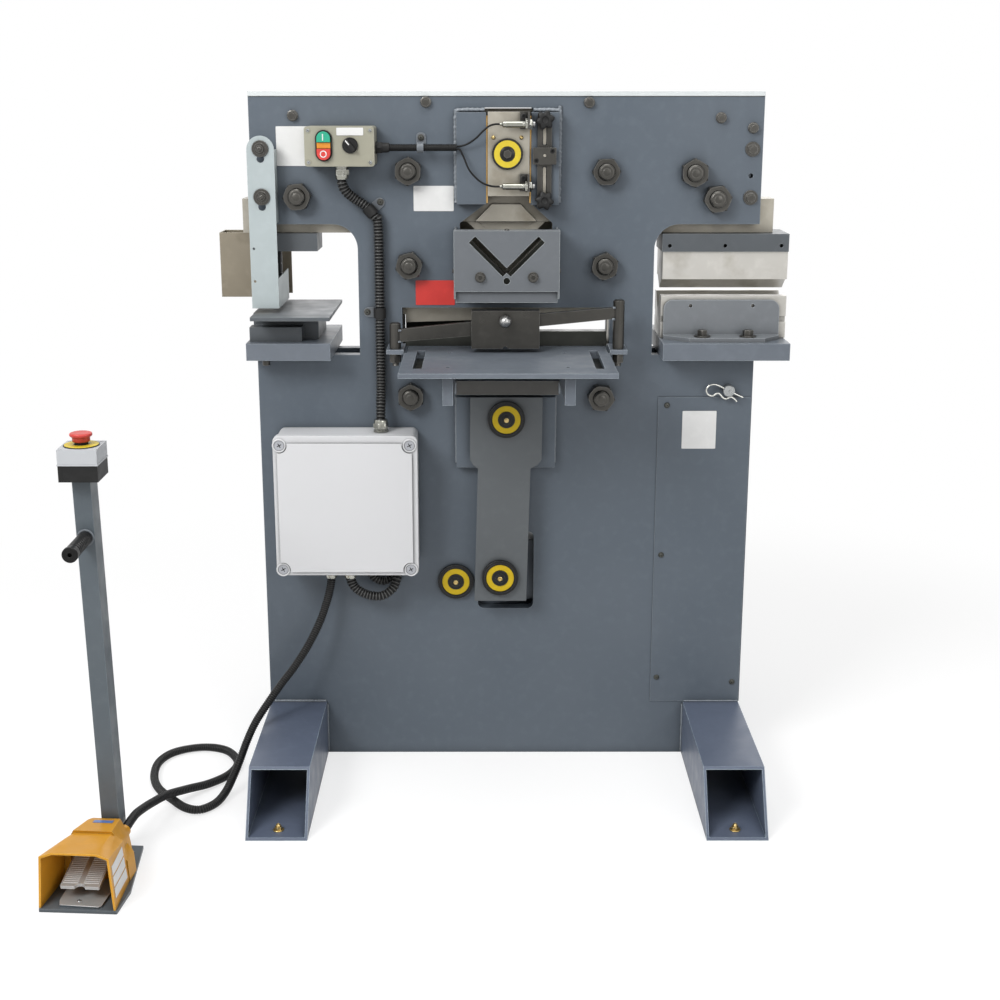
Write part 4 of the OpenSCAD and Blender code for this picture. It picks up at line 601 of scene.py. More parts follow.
oilHoses = {
    "low": {"radius": 8.0, "route": [
        (0.423, 0.0647, 0.514), (0.423, 0.084, 0.514), (0.412, 0.108, 0.500), (0.376, 0.134, 0.456),
        (0.320, 0.152, 0.392), (0.262, 0.160, 0.346), (0.222, 0.160, 0.336), (0.2002, 0.160, 0.336)]},
    "high": {"radius": 8.0, "route": [
        (0.423, 0.0647, 0.676), (0.423, 0.084, 0.676), (0.421, 0.104, 0.652), (0.410, 0.130, 0.576),
        (0.372, 0.160, 0.470), (0.300, 0.182, 0.384), (0.232, 0.184, 0.360), (0.2002, 0.184, 0.360)]},
}


def makeConduits():
    bm = bmesh.new()
    for run in conduits.values():
        ribbedHose(bm, run["route"], run["radius"], run.get("pitch", 6.0), run.get("groove", 1.8),
                   rib=run.get("rib", 2))
    for run in oilHoses.values():
        line = smoothPath([tuple(c * 1000 for c in p) for p in run["route"]], 4)[0]
        sweep(bm, line, [run["radius"]] * len(line), 20)
        for end, after in ((0, 4), (-1, -5)):
            ferrule = [line[end], line[end] + (line[after] - line[end]).normalized() * 22]
            sweep(bm, ferrule, [run["radius"] + 1.6] * 2, 24, 1)
    addPiece("conduitsRibbed", bm, "black_rubber", "frame", replaces=("box_conduits",), smooth=60,
             parts=["zinc", "rib_sheen"])


makeConduits()
print("hoses and conduits made")

# edges are eased by these radii in millimetres, other nodes by 0.7
edgeWidth = {"pedal_hood": 2.2, "control_box": 1.2,
             "frame_legs": 1.4, "station_post": 1.2, "feed_table": 1.0, "angle_guard": 1.0}
nodeFinish = {"frame_legs": "leg_paint", "feed_table": "table_paint", "bolsters": "table_paint",
              "die_angle_plate": "angle_paint", "front_brackets": "table_paint",
              "links": "link_paint", "angle_guard": "guard_paint", "station_post": "post_paint",
              "fixed_blades": "blade_dark", "chip_guard": "sheet_tan", "die_holder": "holder_paint",
              "tool_holders": "holder_paint", "gauge_table": "holder_paint"}


def dressNode(name):
    node = nodes[name]
    node.data.materials.clear()
    node.data.materials.append(finishOf[nodeFinish.get(name, slotOf[name])])
    weld = node.modifiers.new("join", "WELD")
    weld.merge_threshold = 0.000002
    flat = node.modifiers.new("flats", "DECIMATE")
    flat.decimate_type = "DISSOLVE"
    flat.angle_limit = math.radians(0.3)
    edge = node.modifiers.new("edge", "BEVEL")
    edge.width = edgeWidth.get(name, 0.7) * mm
    edge.segments = 2
    edge.limit_method = "ANGLE"
    edge.angle_limit = math.radians(35)
    edge.use_clamp_overlap = True
    even = node.modifiers.new("even", "WEIGHTED_NORMAL")
    even.keep_sharp = False
    even.weight = 80


for name in nodes:
    dressNode(name)
print("nodes dressed")

# nine tie studs, each with a nut in front and behind; at gives x, z and how the hexagon sits
tieNuts = {"flats": 46, "seat": 22.6, "seatThick": 3, "height": 24, "stud": 15, "proud": 8, "spacer": 21,
           "at": [(-384, 1111, 6), (-180, 1157, 27), (-180, 985, 14), (183, 1156, 2), (345, 1154, 30),
                  (388, 1107, 8), (183, 984, 22), (-180, 737, 30), (181, 735, -6)]}


def makeTieNuts(t):
    nuts, studs = bmesh.new(), bmesh.new()
    for x, z, turn in t["at"]:
        for axis, face in (("-y", plateFront), ("y", plateRear)):
            at = (x, face, z)
            washer(nuts, at, axis, t["seat"], t["stud"] + 0.3, t["seatThick"])
            hexHead(nuts, along(at, axis, t["seatThick"]), axis, t["flats"], t["height"] - t["seatThick"],
                    turn=turn, bore=t["stud"] + 0.3)
            threads(studs, along(at, axis, 8), axis, t["stud"], t["height"] - 8 + t["proud"], 2.4, 0.5,
                    sides=40, nose=2.6)
        lathe(studs, (x, 0, z), "y", [(0, plateFront - 9), (t["stud"] - 0.5, plateFront - 9),
                                      (t["stud"] - 0.5, plateRear + 9), (0, plateRear + 9)], 32)
        washer(studs, (x, -plateInner, z), "y", t["spacer"], t["stud"], 2 * plateInner)
    addPiece("tieNutSet", nuts, "dark_steel", "frame", replaces=("tie_nuts",), smooth=30)
    addPiece("tieStudSet", studs, "dark_steel", "frame", replaces=("tie_studs",), smooth=30)


makeTieNuts(tieNuts)

hexBolts = {"plate": [(-389.5, 1256, 12), (-146.6, 1280, 40), (150.7, 1279, 6), (391.4, 1252, 15),
                      (450.6, 1234, 50), (450.9, 1196, 25), (450.5, 1108.6, 8)],
            "wide": (1196, 1108.6), "flats": 18, "shear": (-47.5, 47.5), "shearFace": -162.5,
            "guard": (1198, 1112), "die": (366, 451), "bolsterTop": 855, "arms": ((-205, 872), (207, 914))}


def makeHexBolts(h):
    bm = bmesh.new()
    for x, z, turn in h["plate"]:
        at = (x, plateFront, z)
        if z in h["wide"]:
            washer(bm, at, "-y", 13.5, 5, 2.2)
        else:
            washer(bm, at, "-y", 10, 5, 2)
        lathe(bm, along(at, "-y", 2), "-y", [(5, 0), (9.6, 0), (9.6, 0.9), (8.8, 1.3), (5, 1.3)], 40)
        hexHead(bm, along(at, "-y", 3), "-y", h["flats"] - 3, 6.5, turn=turn)
        lathe(bm, along(at, "-y", 9.4), "-y", [(5.2, 0), (4.8, 0.35), (0, 0.35)], 32)
    for x in h["shear"]:
        at = (x, h["shearFace"], 975)
        washer(bm, at, "-y", 9.5, 4, 2)
        lathe(bm, along(at, "-y", 2), "-y", [(4, 0), (7.4, 0), (7.4, 5.6), (6.8, 6.4), (4.0, 6.4),
                                             (4.0, 3.6), (0, 3.6)], 40)
        hexHead(bm, along(at, "-y", 3.5), "-y", 5.2, 1.5, turn=10)
    for z in h["guard"]:
        at = (-446, plateFront, z)
        lathe(bm, at, "-y", [(8, 0), (8, 30.4), (4.2, 30.4)], 32)
        washer(bm, along(at, "-y", 33.2), "-y", 15, 4.2, 2.8)
        lathe(bm, along(at, "-y", 36), "-y", [(4, 0), (10.4, 0), (10.4, 1), (9.8, 1.4), (4, 1.4)], 40)
        hexHead(bm, along(at, "-y", 37), "-y", 13, 6, turn=17, bore=4.3)
        threads(bm, along(at, "-y", 29), "-y", 4.2, 17, 1.2, 0.3)
    for x in h["die"]:
        at = (x, -85, h["bolsterTop"])
        washer(bm, (x, -85, h["bolsterTop"] - 0.2), "z", 15.5, 7, 2.6)
        hexHead(bm, along(at, "z", 2.4), "z", 17.5, 10, turn=12 + x)
        lathe(bm, along(at, "z", 12.3), "z", [(7.4, 0), (6.6, 0.8), (0, 0.8)], 28)
        lathe(bm, (x, -85, 823), "z", [(0, -13), (7, -13), (8, -12), (8, 30)], 24)
    lathe(bm, (-448, -90, 814), "-z", [(0, -4), (4, -4), (4, 1), (6.6, 1), (7, 1.6), (7, 11.4), (6.4, 12),
                                      (3.6, 12), (3.6, 8), (0, 8)], 32)
    for x, top in h["arms"]:
        y = plateFront - 60
        hexHead(bm, (x, y, 812), "z", 19, 15, turn=20)
        washer(bm, (x, y, 827), "z", 12, 6.1, 2)
        threads(bm, (x, y, 805.5), "z", 6, 30, 1.6, 0.35)
        lathe(bm, (x, y, 830), "z", [(0, 0), (5.8, 0), (5.8, top - 830), (0, top - 830)], 24)
    addPiece("hexBoltSet", bm, "dark_steel", "frame", replaces=("hex_bolts",), smooth=30)


makeHexBolts(hexBolts)
print("nuts and bolts made")

smallScrews = {"panel": [(308, 718), (305, 419), (303, 163), (454, 153)],
               "lid": [(x, z) for x in (-423, -180) for z in (417, 659)],
               "control": [(x, z) for x in (-355, -244) for z in (1175, 1231)]}


def makeSmallScrews(s):
    bm = bmesh.new()
    for x, z in s["panel"]:
        lathe(bm, (x, plateFront - 2, z), "-y", [(0, -1.5), (5.5, 0), (5.5, 0.8), (4.4, 2.3), (2.2, 3.0),
                                                 (1.6, 3.0), (1.6, 1.4), (0, 1.4)], 32, 5)
    for x, z in s["lid"]:
        lathe(bm, (x, -138.5, z), "-y", [(0, -0.2), (9.4, -0.2), (9.4, 1.6), (8.9, 2.1), (6.6, 2.1),
                                         (6.2, 1.7), (0, 1.7)], 40, 3)
        crossSlot(bm, (x, -140.2, z), "-y", 4.6, 0.8, 1)
    for x, z in s["control"]:
        washer(bm, (x, -117.5, z), "-y", 5.2, 3.4, 0.5, 4)
        lathe(bm, (x, -117.5, z), "-y", [(0, -1), (3.2, -1), (3.2, 0.1), (2.4, 0.9), (0, 1.1)], 24, 0)
        crossSlot(bm, (x, -118.45, z), "-y", 2.1, 0.45, 1)
    addPiece("smallScrewSet", bm, "zinc", "frame", replaces=("small_screws",), smooth=30,
             parts=["black_plastic", "dark_steel", "grey_plastic", "control_grey", "blade_dark"])


makeSmallScrews(smallScrews)

# hose glands: x, y, the ends along z, radius, bore
glandSet = {"upright": [(-299, -85, 1168, 1144, 13, 9.8, 1), (-236, -92, 676, 699, 14, 9.8, 0),
                        (-300, -92, 404, 386, 13, 9.8, 1), (-337, -92, 404, 386, 12, 8.3, 1)]}


def makeGlands(g):
    bm = bmesh.new()
    for x, y, face, end, r, bore, down in g["upright"]:
        axis = "-z" if down else "z"
        long = abs(end - face)
        at = (x, y, face)
        lathe(bm, at, axis, [(bore, 0), (r, 0), (r, long * 0.12), (r - 1.2, long * 0.14),
                             (r - 1.2, long * 0.3)], 40)
        hexHead(bm, along(at, axis, long * 0.3), axis, (r + 0.6) * 1.732, long * 0.42, turn=15,
                bore=bore + 0.2)
        nose = [(r - 0.6, 0), (r - 0.6, long * 0.2), (r - 1.6, long * 0.34), (bore, long * 0.34), (bore, 0)]
        lathe(bm, along(at, axis, long * 0.66), axis, nose, 40)
    at = (-237, -86, 1200)
    washer(bm, at, "x", 11, 6.4, 4, 1)
    hexHead(bm, along(at, "x", 4), "x", 19, 8, 1, turn=30, bore=6.6)
    lathe(bm, along(at, "x", 12), "x", [(9, 0), (9, 9), (8, 13), (6.5, 13), (6.5, 0)], 36, 1)
    addPiece("glandSet", bm, "nickel", "frame", replaces=("glands",), smooth=30, parts=["black_plastic"])


makeGlands(glandSet)

# straps that hold the hoses on the plate: place and radius of the hose, the lug's reach, its turn
hoseClips = [{"at": (-236, -66, 897), "hose": 9.5, "lug": -31, "wide": 9, "turn": 0},
             {"at": (-250, -67, 1085), "hose": 9.5, "lug": 31, "wide": 9, "turn": -41.6}]


def makeHoseClips(clips):
    bm = bmesh.new()
    for c in clips:
        x, y, z = c["at"]
        side = 1 if c["lug"] > 0 else -1
        w, r = c["wide"], c["hose"]
        place = Matrix.Translation((x, 0, z)) @ Matrix.Rotation(math.radians(c["turn"]), 4, "Y")
        before = set(bm.verts)
        strap = []
        for k in range(25):
            a = math.radians(k * 360 / 24)
            strap.append((math.cos(a), math.sin(a)))
        inner, outer = [], []
        for px, py in strap:
            for reach, ring in ((r + 0.3, inner), (r + 2.3, outer)):
                ring.append([bm.verts.new(Vector((px * reach, y + py * reach, h))) for h in (-w, w)])
        for k in range(24):
            for quad in ((outer[k][0], outer[k + 1][0], outer[k + 1][1], outer[k][1]),
                         (inner[k][0], inner[k][1], inner[k + 1][1], inner[k + 1][0]),
                         (outer[k][1], outer[k + 1][1], inner[k + 1][1], inner[k][1]),
                         (outer[k][0], inner[k][0], inner[k + 1][0], outer[k + 1][0])):
                bm.faces.new(quad).material_index = 0
        tongue = []
        tip = abs(c["lug"])
        for px, pz in ((r - 2, -w), (tip - w, -w)):
            tongue.append((side * px, pz))
        for k in range(9):
            a = math.radians(-90 + 180 * k / 8)
            tongue.append((side * (tip - w + w * math.cos(a)), w * math.sin(a)))
        tongue += [(side * (tip - w), w), (side * (r - 2), w)]
        tongue = list(dict.fromkeys((round(a, 4), round(b, 4)) for a, b in tongue))
        slab(bm, tongue, plateFront - 2.5, plateFront, 1)
        socketHead(bm, (side * (tip - 7), plateFront - 2.5, 0), 4.6)
        for v in set(bm.verts) - before:
            v.co = place @ v.co
    ring = (-162, -86, 1200)
    washer(bm, ring, "x", 9, 6.7, 12, 4)
    slab(bm, roundedOutline((-164.5, -147.5), (1196, 1226), 7), plateFront - 2.5, plateFront, 4)
    block(bm, (-162, -150), (-80, plateFront), (1206.2, 1208.6), 4)
    socketHead(bm, (-156, plateFront - 2.5, 1217), 4.4)
    addPiece("hoseClipSet", bm, "black_plastic", "frame", smooth=30, soften=0.4,
             parts=["clip_grey", "dark_steel", "blade_dark", "clip_grey"])


makeHoseClips(hoseClips)
print("glands and clips made")

# sensor, bracket and stud places on the ram's guide block
sensorSet = {"heights": (1241.5, 1131.5), "y": -99, "left": -12, "studs": (-24, 27), "studHeight": 1217.5,
             "cap": (1.7, 1188.5), "capRadius": 28}


def makeSensors(s):
    bm = bmesh.new()
    for z in s["heights"]:
        at = (s["left"], s["y"], z)
        lathe(bm, at, "x", [(0, 0), (2.6, 0), (2.9, 3.4), (4.6, 4.6), (5.9, 6), (5.9, 9), (5.5, 9.4),
                            (5.5, 10.2), (6, 10.6), (6, 40)], 40)
        threads(bm, along(at, "x", 40), "x", 6, 20, 1.2, 0.35)
        lathe(bm, along(at, "x", 59.5), "x", [(5.2, 0), (5.0, 3.2), (0, 3.4)], 32, 7)
        for start, turn in ((46, 12), (53.5, 34)):
            hexHead(bm, along(at, "x", start), "x", 17.4, 4, turn=turn)
        block(bm, (38, 41.5), (s["y"] - 9, s["y"] + 9), (z - 9, z + 22), 1)
        block(bm, (24, 41.5), (-90, -79.5), (z - 9, z + 22), 1)
        screw = (31, -90, z + 14)
        lathe(bm, screw, "-y", [(0, -1), (4.6, -1), (4.6, 3.4), (4.1, 4), (2.4, 4), (2.4, 1.8), (0, 1.8)],
              32, 3)
    for x in s["studs"]:
        lathe(bm, (x, -79.5, s["studHeight"]), "-y",
              [(3.6, 0), (3.6, 1), (3.0, 1.6), (3.0, 3), (1.6, 4.4), (0, 4.6)], 24, 2)
    x, z = s["cap"]
    r = s["capRadius"]
    at = (x, -79.5, z)
    lathe(bm, at, "-y", [(0, 0), (r, 0), (r, 6.6), (r - 0.8, 7.8), (r - 2.6, 8), (r - 3.4, 7.2),
                         (r - 3.4, 6.4), (0, 6.4)], 72, 4)
    lathe(bm, along(at, "-y", 6.3), "-y", [(r - 3.6, 0), (r - 3.6, 0.7), (r * 0.50, 0.7), (r * 0.50, 0)],
          72, 5)
    lathe(bm, along(at, "-y", 6.3), "-y", [(r * 0.46, 0), (r * 0.46, 1.4), (r * 0.42, 2), (0, 2)], 48, 4)
    hexHead(bm, along(at, "-y", 8.2), "-y", r * 0.46, 3.4, 6, turn=18)
    addPiece("sensorSet", bm, "nickel", "ram", replaces=("sensors",), smooth=30,
             parts=["dark_steel", "brass", "black_plastic", "cap_black", "sight_yellow", "dark_steel",
                    "bright_steel"])


makeSensors(sensorSet)

# round grease caps: place, the face of the cap, the body that it turns on, radius
capRings = {"pivotCap": {"at": (-96.8, 365.4), "face": 60.5, "body": "frame", "radius": 35},
            "ramPinCap": {"at": (1, 700.4), "face": 106, "body": "ram", "radius": 35},
            "linkPinCap": {"at": (-10.5, 388), "face": 106, "body": "lever", "radius": 35}}


greaseNipple = [(0, 0), (4.4, 0), (4.4, 1.6), (2.8, 2.2), (2.4, 3.4), (3.4, 4.4), (2.6, 5.8), (0, 6.2)]


def makeCapRings(caps):
    for name, c in caps.items():
        bm = bmesh.new()
        x, z = c["at"]
        r = c["radius"]
        for axis, sign in (("-y", -1), ("y", 1)):
            at = (x, sign * (c["face"] - 1.6), z)
            lathe(bm, at, axis, [(r * 0.76, 0), (r * 0.76, 0.7), (r * 0.46, 0.7), (r * 0.46, 0)], 72)
            washer(bm, at, axis, r - 4.4, r * 0.78, 2.1, 1, 72)
            hub = [(0.44, 0), (0.44, 1.2), (0.40, 1.8), (0.27, 1.8), (0.25, 3.2), (0.20, 3.8), (0, 3.8)]
            lathe(bm, along(at, axis, 1.0), axis, [(r * share, h) for share, h in hub], 48, 1)
            lathe(bm, along(at, axis, 4.6), axis, greaseNipple, 24, 2)
        addPiece(name + "Ring", bm, "cap_yellow", c["body"], smooth=30,
                 parts=["cap_black", "brass"])


makeCapRings(capRings)
print("sensors and grease caps made")

starKnobs = {"upper": {"at": (69, 1249), "body": "upper_stop", "turn": 12},
             "lower": {"at": (69, 1106), "body": "lower_stop", "turn": -10},
             "back": -89.5, "face": -103.5, "reach": 17.6, "waist": 12.8}


def makeStarKnob(name, k, s):
    bm = bmesh.new()
    x, z = k["at"]
    y0, deep = s["back"], s["back"] - s["face"]
    # share of the star's reach and depth, the last ones round
    levels = [(0.82, 0.0, 1), (0.97, 0.12, 1), (1.0, 0.3, 1), (1.0, 0.62, 1), (0.95, 0.82, 1),
              (0.80, 0.95, 0.8), (0.50, 1.0, 0.2), (0.40, 1.0, 0), (0.36, 0.9, 0), (0.30, 0.86, 0)]
    rings = []
    for share, depth, star in levels:
        ring = []
        for i in range(96):
            a = 2 * math.pi * i / 96
            lobe = (0.5 + 0.5 * math.cos(6 * (a - math.radians(k["turn"])))) ** 0.8
            r = s["waist"] + (s["reach"] - s["waist"]) * lobe
            r = r * star + (1 - star) * s["reach"] * 0.9
            ring.append(bm.verts.new(Vector((x + share * r * math.cos(a), y0 - deep * depth,
                                             z + share * r * math.sin(a)))))
        rings.append(ring)
    joinRings(bm, rings)
    bm.faces.new(rings[0][::-1])
    bm.faces.new(rings[-1])
    lathe(bm, (x, -83.5, z), "-y", [(0, -2.6), (3.7, -2.6), (3.7, 0.6), (7.5, 0.6), (7.5, 6.2), (0, 6.2)],
          32)
    addPiece("starKnob" + name, bm, "black_plastic", k["body"], smooth=40,
             replaces=(name + "_knob",))


for name in ("upper", "lower"):
    makeStarKnob(name, starKnobs[name], starKnobs)

# rail of the stops: bright middle strip, two socket screws and the pin in the centre block
stopRailSet = {"screws": [(83, 1194), (54, 1177)], "pin": (69, 1186), "face": -91.5,
               "slots": [(1205, 1251), (1101, 1165)]}


def makeStopRailBits(s):
    bm = bmesh.new()
    for x, z in s["screws"]:
        lathe(bm, (x, s["face"] + 5, z), "-y", [(0, -0.4), (4.9, -0.4), (4.9, 4.6), (4.4, 5.2), (2.6, 5.2),
                                                (2.6, 2), (0, 2)], 32, 0)
    x, z = s["pin"]
    lathe(bm, (x, s["face"], z), "-y", [(0, -0.5), (2.6, -0.5), (2.6, 0.4), (2, 0.9), (0, 0.9)], 24, 1)
    for z0, z1 in s["slots"]:
        slab(bm, roundedOutline((66.2, 71.8), (z0, z1), 2.4), -80.4, -79.6, 1)
    addPiece("stopRailBits", bm, "black_plastic", "frame", smooth=30,
             parts=["raw_steel"])


makeStopRailBits(stopRailSet)
print("stops made")

# twin push button in its black frame and the selector beside it
twinButton = {"x": -327, "round": 12.2, "top": 1217.3, "bottom": 1191.7, "split": (1199.2, 1210.8),
              "frame": 14.9, "face": -117.5}


def halfRound(x, r, z, flat, sign):
    # outline with a round end at z and a flat end, sign 1 for a round top
    line = [(x + sign * r, flat), (x + sign * r, z)]
    for k in range(1, 16):
        a = math.pi * k / 16
        line.append((x + sign * r * math.cos(a), z + sign * r * math.sin(a)))
    line += [(x - sign * r, z), (x - sign * r, flat)]
    return line


def makeTwinButton(t):
    x, face = t["x"], t["face"]
    bm = bmesh.new()
    outer = roundedOutline((x - t["frame"], x + t["frame"]), (1177.0, 1232.0), t["frame"] - 0.1, 12)
    inner = roundedOutline((x - 12.9, x + 12.9), (1179.0, 1230.0), 12.8, 12)
    hoop(bm, outer, inner, face - 3.9, face - 0.1)
    slab(bm, roundedOutline((x - 13.4, x + 13.4), (1178.4, 1230.6), 13.3, 12), face - 3.3, face - 0.1)
    block(bm, (x - 12.2, x + 12.2), (face - 5.0, face - 3.0), (t["split"][0] + 0.5, t["split"][1] - 0.5), 1)
    addPiece("buttonFrame", bm, "black_plastic", "frame", smooth=30, soften=0.4, parts=["amber_lens"])
    for name, body, z, sign in (("start", "start", t["top"], 1), ("stop", "stop", t["bottom"], -1)):
        bm = bmesh.new()
        flat = t["split"][1] if sign > 0 else t["split"][0]
        slab(bm, halfRound(x, t["round"], z, flat, sign), face - 8.6, face - 3.4)
        if sign > 0:
            slab(bm, roundedOutline((x - 1.9, x + 0.1), (1213.4, 1225.2), 0.5, 3), face - 8.9, face - 8.4,
                 1)
        else:
            hoop(bm, circle(x - 0.4, 1190, 6.2), circle(x - 0.4, 1190, 4.4), face - 8.9, face - 8.4, 1)
        lathe(bm, (x, face, 1217 if sign > 0 else 1192), "y", [(0, -4), (7.6, -4), (7.6, 16), (0, 16)], 32)
        addPiece(name + "Button", bm, "green_button" if sign > 0 else "red_button", body, smooth=30,
                 replaces=(name + "_button",), parts=["plate_white"], soften=0.5)


makeTwinButton(twinButton)

selectorKnob = {"at": (-280, 1205), "radius": 14, "face": -118, "turn": -40}


def makeSelector(s):
    bm = bmesh.new()
    x, z = s["at"]
    r = s["radius"]
    lathe(bm, (x, s["face"], z), "-y", [(0, 0), (r, 0), (r, 2.2), (r - 0.6, 2.8), (r - 1.6, 2.9),
                                        (r - 2.0, 2.4), (0, 2.4)], 64)
    for k in range(24):
        a = 2 * math.pi * k / 24
        lathe(bm, (x + (r - 0.7) * math.cos(a), s["face"], z + (r - 0.7) * math.sin(a)), "-y",
              [(0, 0.1), (0.9, 0.1), (0.9, 3.0), (0, 3.2)], 8)
    lean = Matrix.Translation((x, 0, z)) @ Matrix.Rotation(math.radians(s["turn"]), 4, "Y")
    slab(bm, roundedOutline((-3.6, 3.6), (-12.4, 12.4), 3.4, 5), -130, s["face"] - 2, place=lean)
    slab(bm, roundedOutline((-1.1, 1.1), (1.5, 11.6), 0.8, 3), -130.35, -129.6, 1, place=lean)
    lathe(bm, (x, s["face"], z), "y", [(0, 0), (7.9, 0), (7.9, 16), (0, 16)], 32)
    addPiece("selectorHandle", bm, "black_plastic", "selector", smooth=30, replaces=("selector_knob",),
             parts=["plate_white"], soften=0.5)


makeSelector(selectorKnob)
print("control box fitted")

# plain plates: x, z, finish and the face that each sits on
blankPlates = [{"x": (-171, -97), "z": (1084, 1130), "look": 0, "face": plateFront},
               {"x": (-169, -96), "z": (910, 956), "look": 1, "face": plateFront},
               {"x": (338, 403), "z": (633, 707), "look": 0, "face": plateFront - 2},
               {"x": (-421, -363), "z": (1166, 1237), "look": 0, "face": plateFront},
               {"x": (-304, -256), "z": (1222.5, 1236), "look": 0, "face": -117.5}]


def makeBlankPlates(plates):
    bm = bmesh.new()
    for p in plates:
        slab(bm, roundedOutline(p["x"], p["z"], 1.6, 4), p["face"] - 0.7, p["face"] + 0.05, p["look"])
    addPiece("blankPlates", bm, "plate_white", "frame", smooth=30, parts=["plate_red"])


makeBlankPlates(blankPlates)

# weld beads: points of each, radius, and a shift for the noise
welds = [{"line": [(-92, -54, 1100), (-92.5, -54, 1200), (-92, -54, 1258), (-88, -55, 1265),
                   (-40, -55, 1266)], "radius": 4.6},
         {"line": [(97, -54, 1100), (97.5, -54, 1258), (92, -55, 1265), (50, -55, 1266)], "radius": 4.2},
         {"line": [(-94.5, -53.5, 606), (-95, -53.5, 736)], "radius": 2.6},
         {"line": [(94.5, -53.5, 606), (95, -53.5, 736)], "radius": 2.6},
         {"line": [(-466, -53.5, 112), (-359, -53.5, 112)], "radius": 3.2},
         {"line": [(359, -53.5, 112), (466, -53.5, 112)], "radius": 2.2},
         {"line": [(-356.4, -53.5, 106), (-356.4, -53.5, 4)], "radius": 2.2},
         {"line": [(356.4, -53.5, 106), (356.4, -53.5, 4)], "radius": 2.2},
         {"line": [(-466, 53.5, 112), (-359, 53.5, 112)], "radius": 3.0},
         {"line": [(359, 53.5, 112), (466, 53.5, 112)], "radius": 3.0},
         {"line": [(-94.4, -98.6, 750), (-94.4, -98.6, 771)], "radius": 2.4},
         {"line": [(100, -98.6, 750), (100, -98.6, 771)], "radius": 2.4},
         {"line": [(-113, -54, 771), (-113, -54, 820)], "radius": 2.4},
         {"line": [(119, -54, 771), (119, -54, 820)], "radius": 2.4}]


def makeWelds(lines):
    bm = bmesh.new()
    for k, w in enumerate(lines):
        weldBead(bm, w["line"], w["radius"], 3.1 * k)
    addPiece("weldBeads", bm, "weld_metal", "frame", smooth=50)


makeWelds(welds)

holdDownBits = {"ball": (-2, -136.5, 891), "radius": 11.7,
                "welds": [(-195, -112.5, 872), (-196, -112.5, 851), (197, -112.5, 914), (196, -112.5, 893)]}


def makeHoldDownBits(h):
    bm = bmesh.new()
    ball = bmesh.ops.create_uvsphere(bm, u_segments=40, v_segments=24, radius=h["radius"])["verts"]
    for v in ball:
        v.co += Vector(h["ball"])
    lathe(bm, (-2, -124.4, 891), "-y", [(0, 0), (7.2, 0), (7.2, 2.2), (5.4, 3), (5.4, 5)], 32, 1)
    for x, y, z in h["welds"]:
        side = 1 if x > 0 else -1
        weldBead(bm, [(x, y - 7, z), (x + side, y - 8.4, z), (x + side * 3, y - 9.6, z + 0.5)], 2.3,
                 x * 0.01, 2)
    for x, top in ((-205, 884), (207, 926)):
        lathe(bm, (x, -112.5, top), "z", [(0, -1), (8.6, -1), (8.6, 1.2), (7.6, 2), (0, 2)], 32, 1)
    addPiece("holdDownBits", bm, "bright_steel", "hold_down_arm", smooth=40,
             parts=["dark_steel", "weld_metal"])


makeHoldDownBits(holdDownBits)
print("welds and plates made")

anchorBolts = {"x": 412.5, "y": 390.5, "floor": 5}


def makeAnchors(a):
    bm = bmesh.new()
    for x in (-a["x"], a["x"]):
        for y in (-a["y"], a["y"]):
            washer(bm, (x, y, a["floor"]), "z", 10, 5.2, 1.6)
            hexHead(bm, (x, y, a["floor"] + 1.6), "z", 11.5, 5.5, turn=x * 0.1, bore=4.4)
            threads(bm, (x, y, 0.3), "z", 4.3, 16.5, 1.3, 0.3)
    addPiece("anchorBolts", bm, "brass", "frame", smooth=30)


makeAnchors(anchorBolts)

stripper = {"at": (-445, 0), "z": (952, 1022), "radius": 21}


def makeStripper(p):
    # rubber sleeve that pushes the sheet off the punch
    bm = bmesh.new()
    r = p["radius"]
    z0, z1 = p["z"]
    profile = [(14, 0), (r - 1.5, 0), (r, 1.5)]
    for k in range(3):
        h = 12 + k * 18
        profile += [(r, h), (r - 0.9, h + 0.9), (r - 0.9, h + 2.4), (r, h + 3.3)]
    profile += [(r, z1 - z0 - 2), (r - 2, z1 - z0), (14, z1 - z0), (14, 0)]
    lathe(bm, (*p["at"], z0), "z", profile, 48)
    addPiece("punchSleeve", bm, "black_rubber", "ram", smooth=35)


makeStripper(stripper)

# pin of the cylinder: its ends along y, and the wire clip in front as points in x and z
lockPin = {"at": (423, 748.5), "radius": 11, "front": -70.5, "rear": 58.5, "wire": 1.7, "clip": -66.5,
           "line": [(450.2, 735.7), (435.2, 742.6), (418, 751.2), (398.7, 760.2), (386.1, 758.9),
                    (380.1, 750.3), (383.7, 741.7), (392.3, 738.7), (400.5, 743.5), (405.6, 742.6),
                    (410.9, 736.6), (417.8, 733.2), (426.9, 736.6), (433, 733.6), (438.7, 728)]}


def makeLockPin(p):
    bm = bmesh.new()
    x, z = p["at"]
    r = p["radius"]
    long = p["rear"] - p["front"]
    body = [(0, 0), (r + 4, 0), (r + 4, 5.5), (r, 6), (r, long - 1.4), (r - 1.4, long)]
    body += [(r - 2.6, long), (r - 3, long - 0.5), (2.2, long - 0.5), (1.4, long - 1.6), (0, long - 1.6)]
    lathe(bm, (x, p["rear"], z), "-y", body, 56)
    # the end of the clip lies a little in front of its first leg
    spots = [(px, p["clip"] - (0.8 if k > 9 else 0), pz) for k, (px, pz) in enumerate(p["line"])]
    line = smoothPath(spots, 1.6)[0]
    sweep(bm, line, [p["wire"]] * len(line), 14, 1)
    addPiece("lockPin", bm, "zinc", "frame", replaces=("clevis_pin",), smooth=40, parts=["pin_wire"])


makeLockPin(lockPin)

angleGuardBits = {"sides": [(-95, 985), (95, 985)], "top": (0, -158, 1058)}


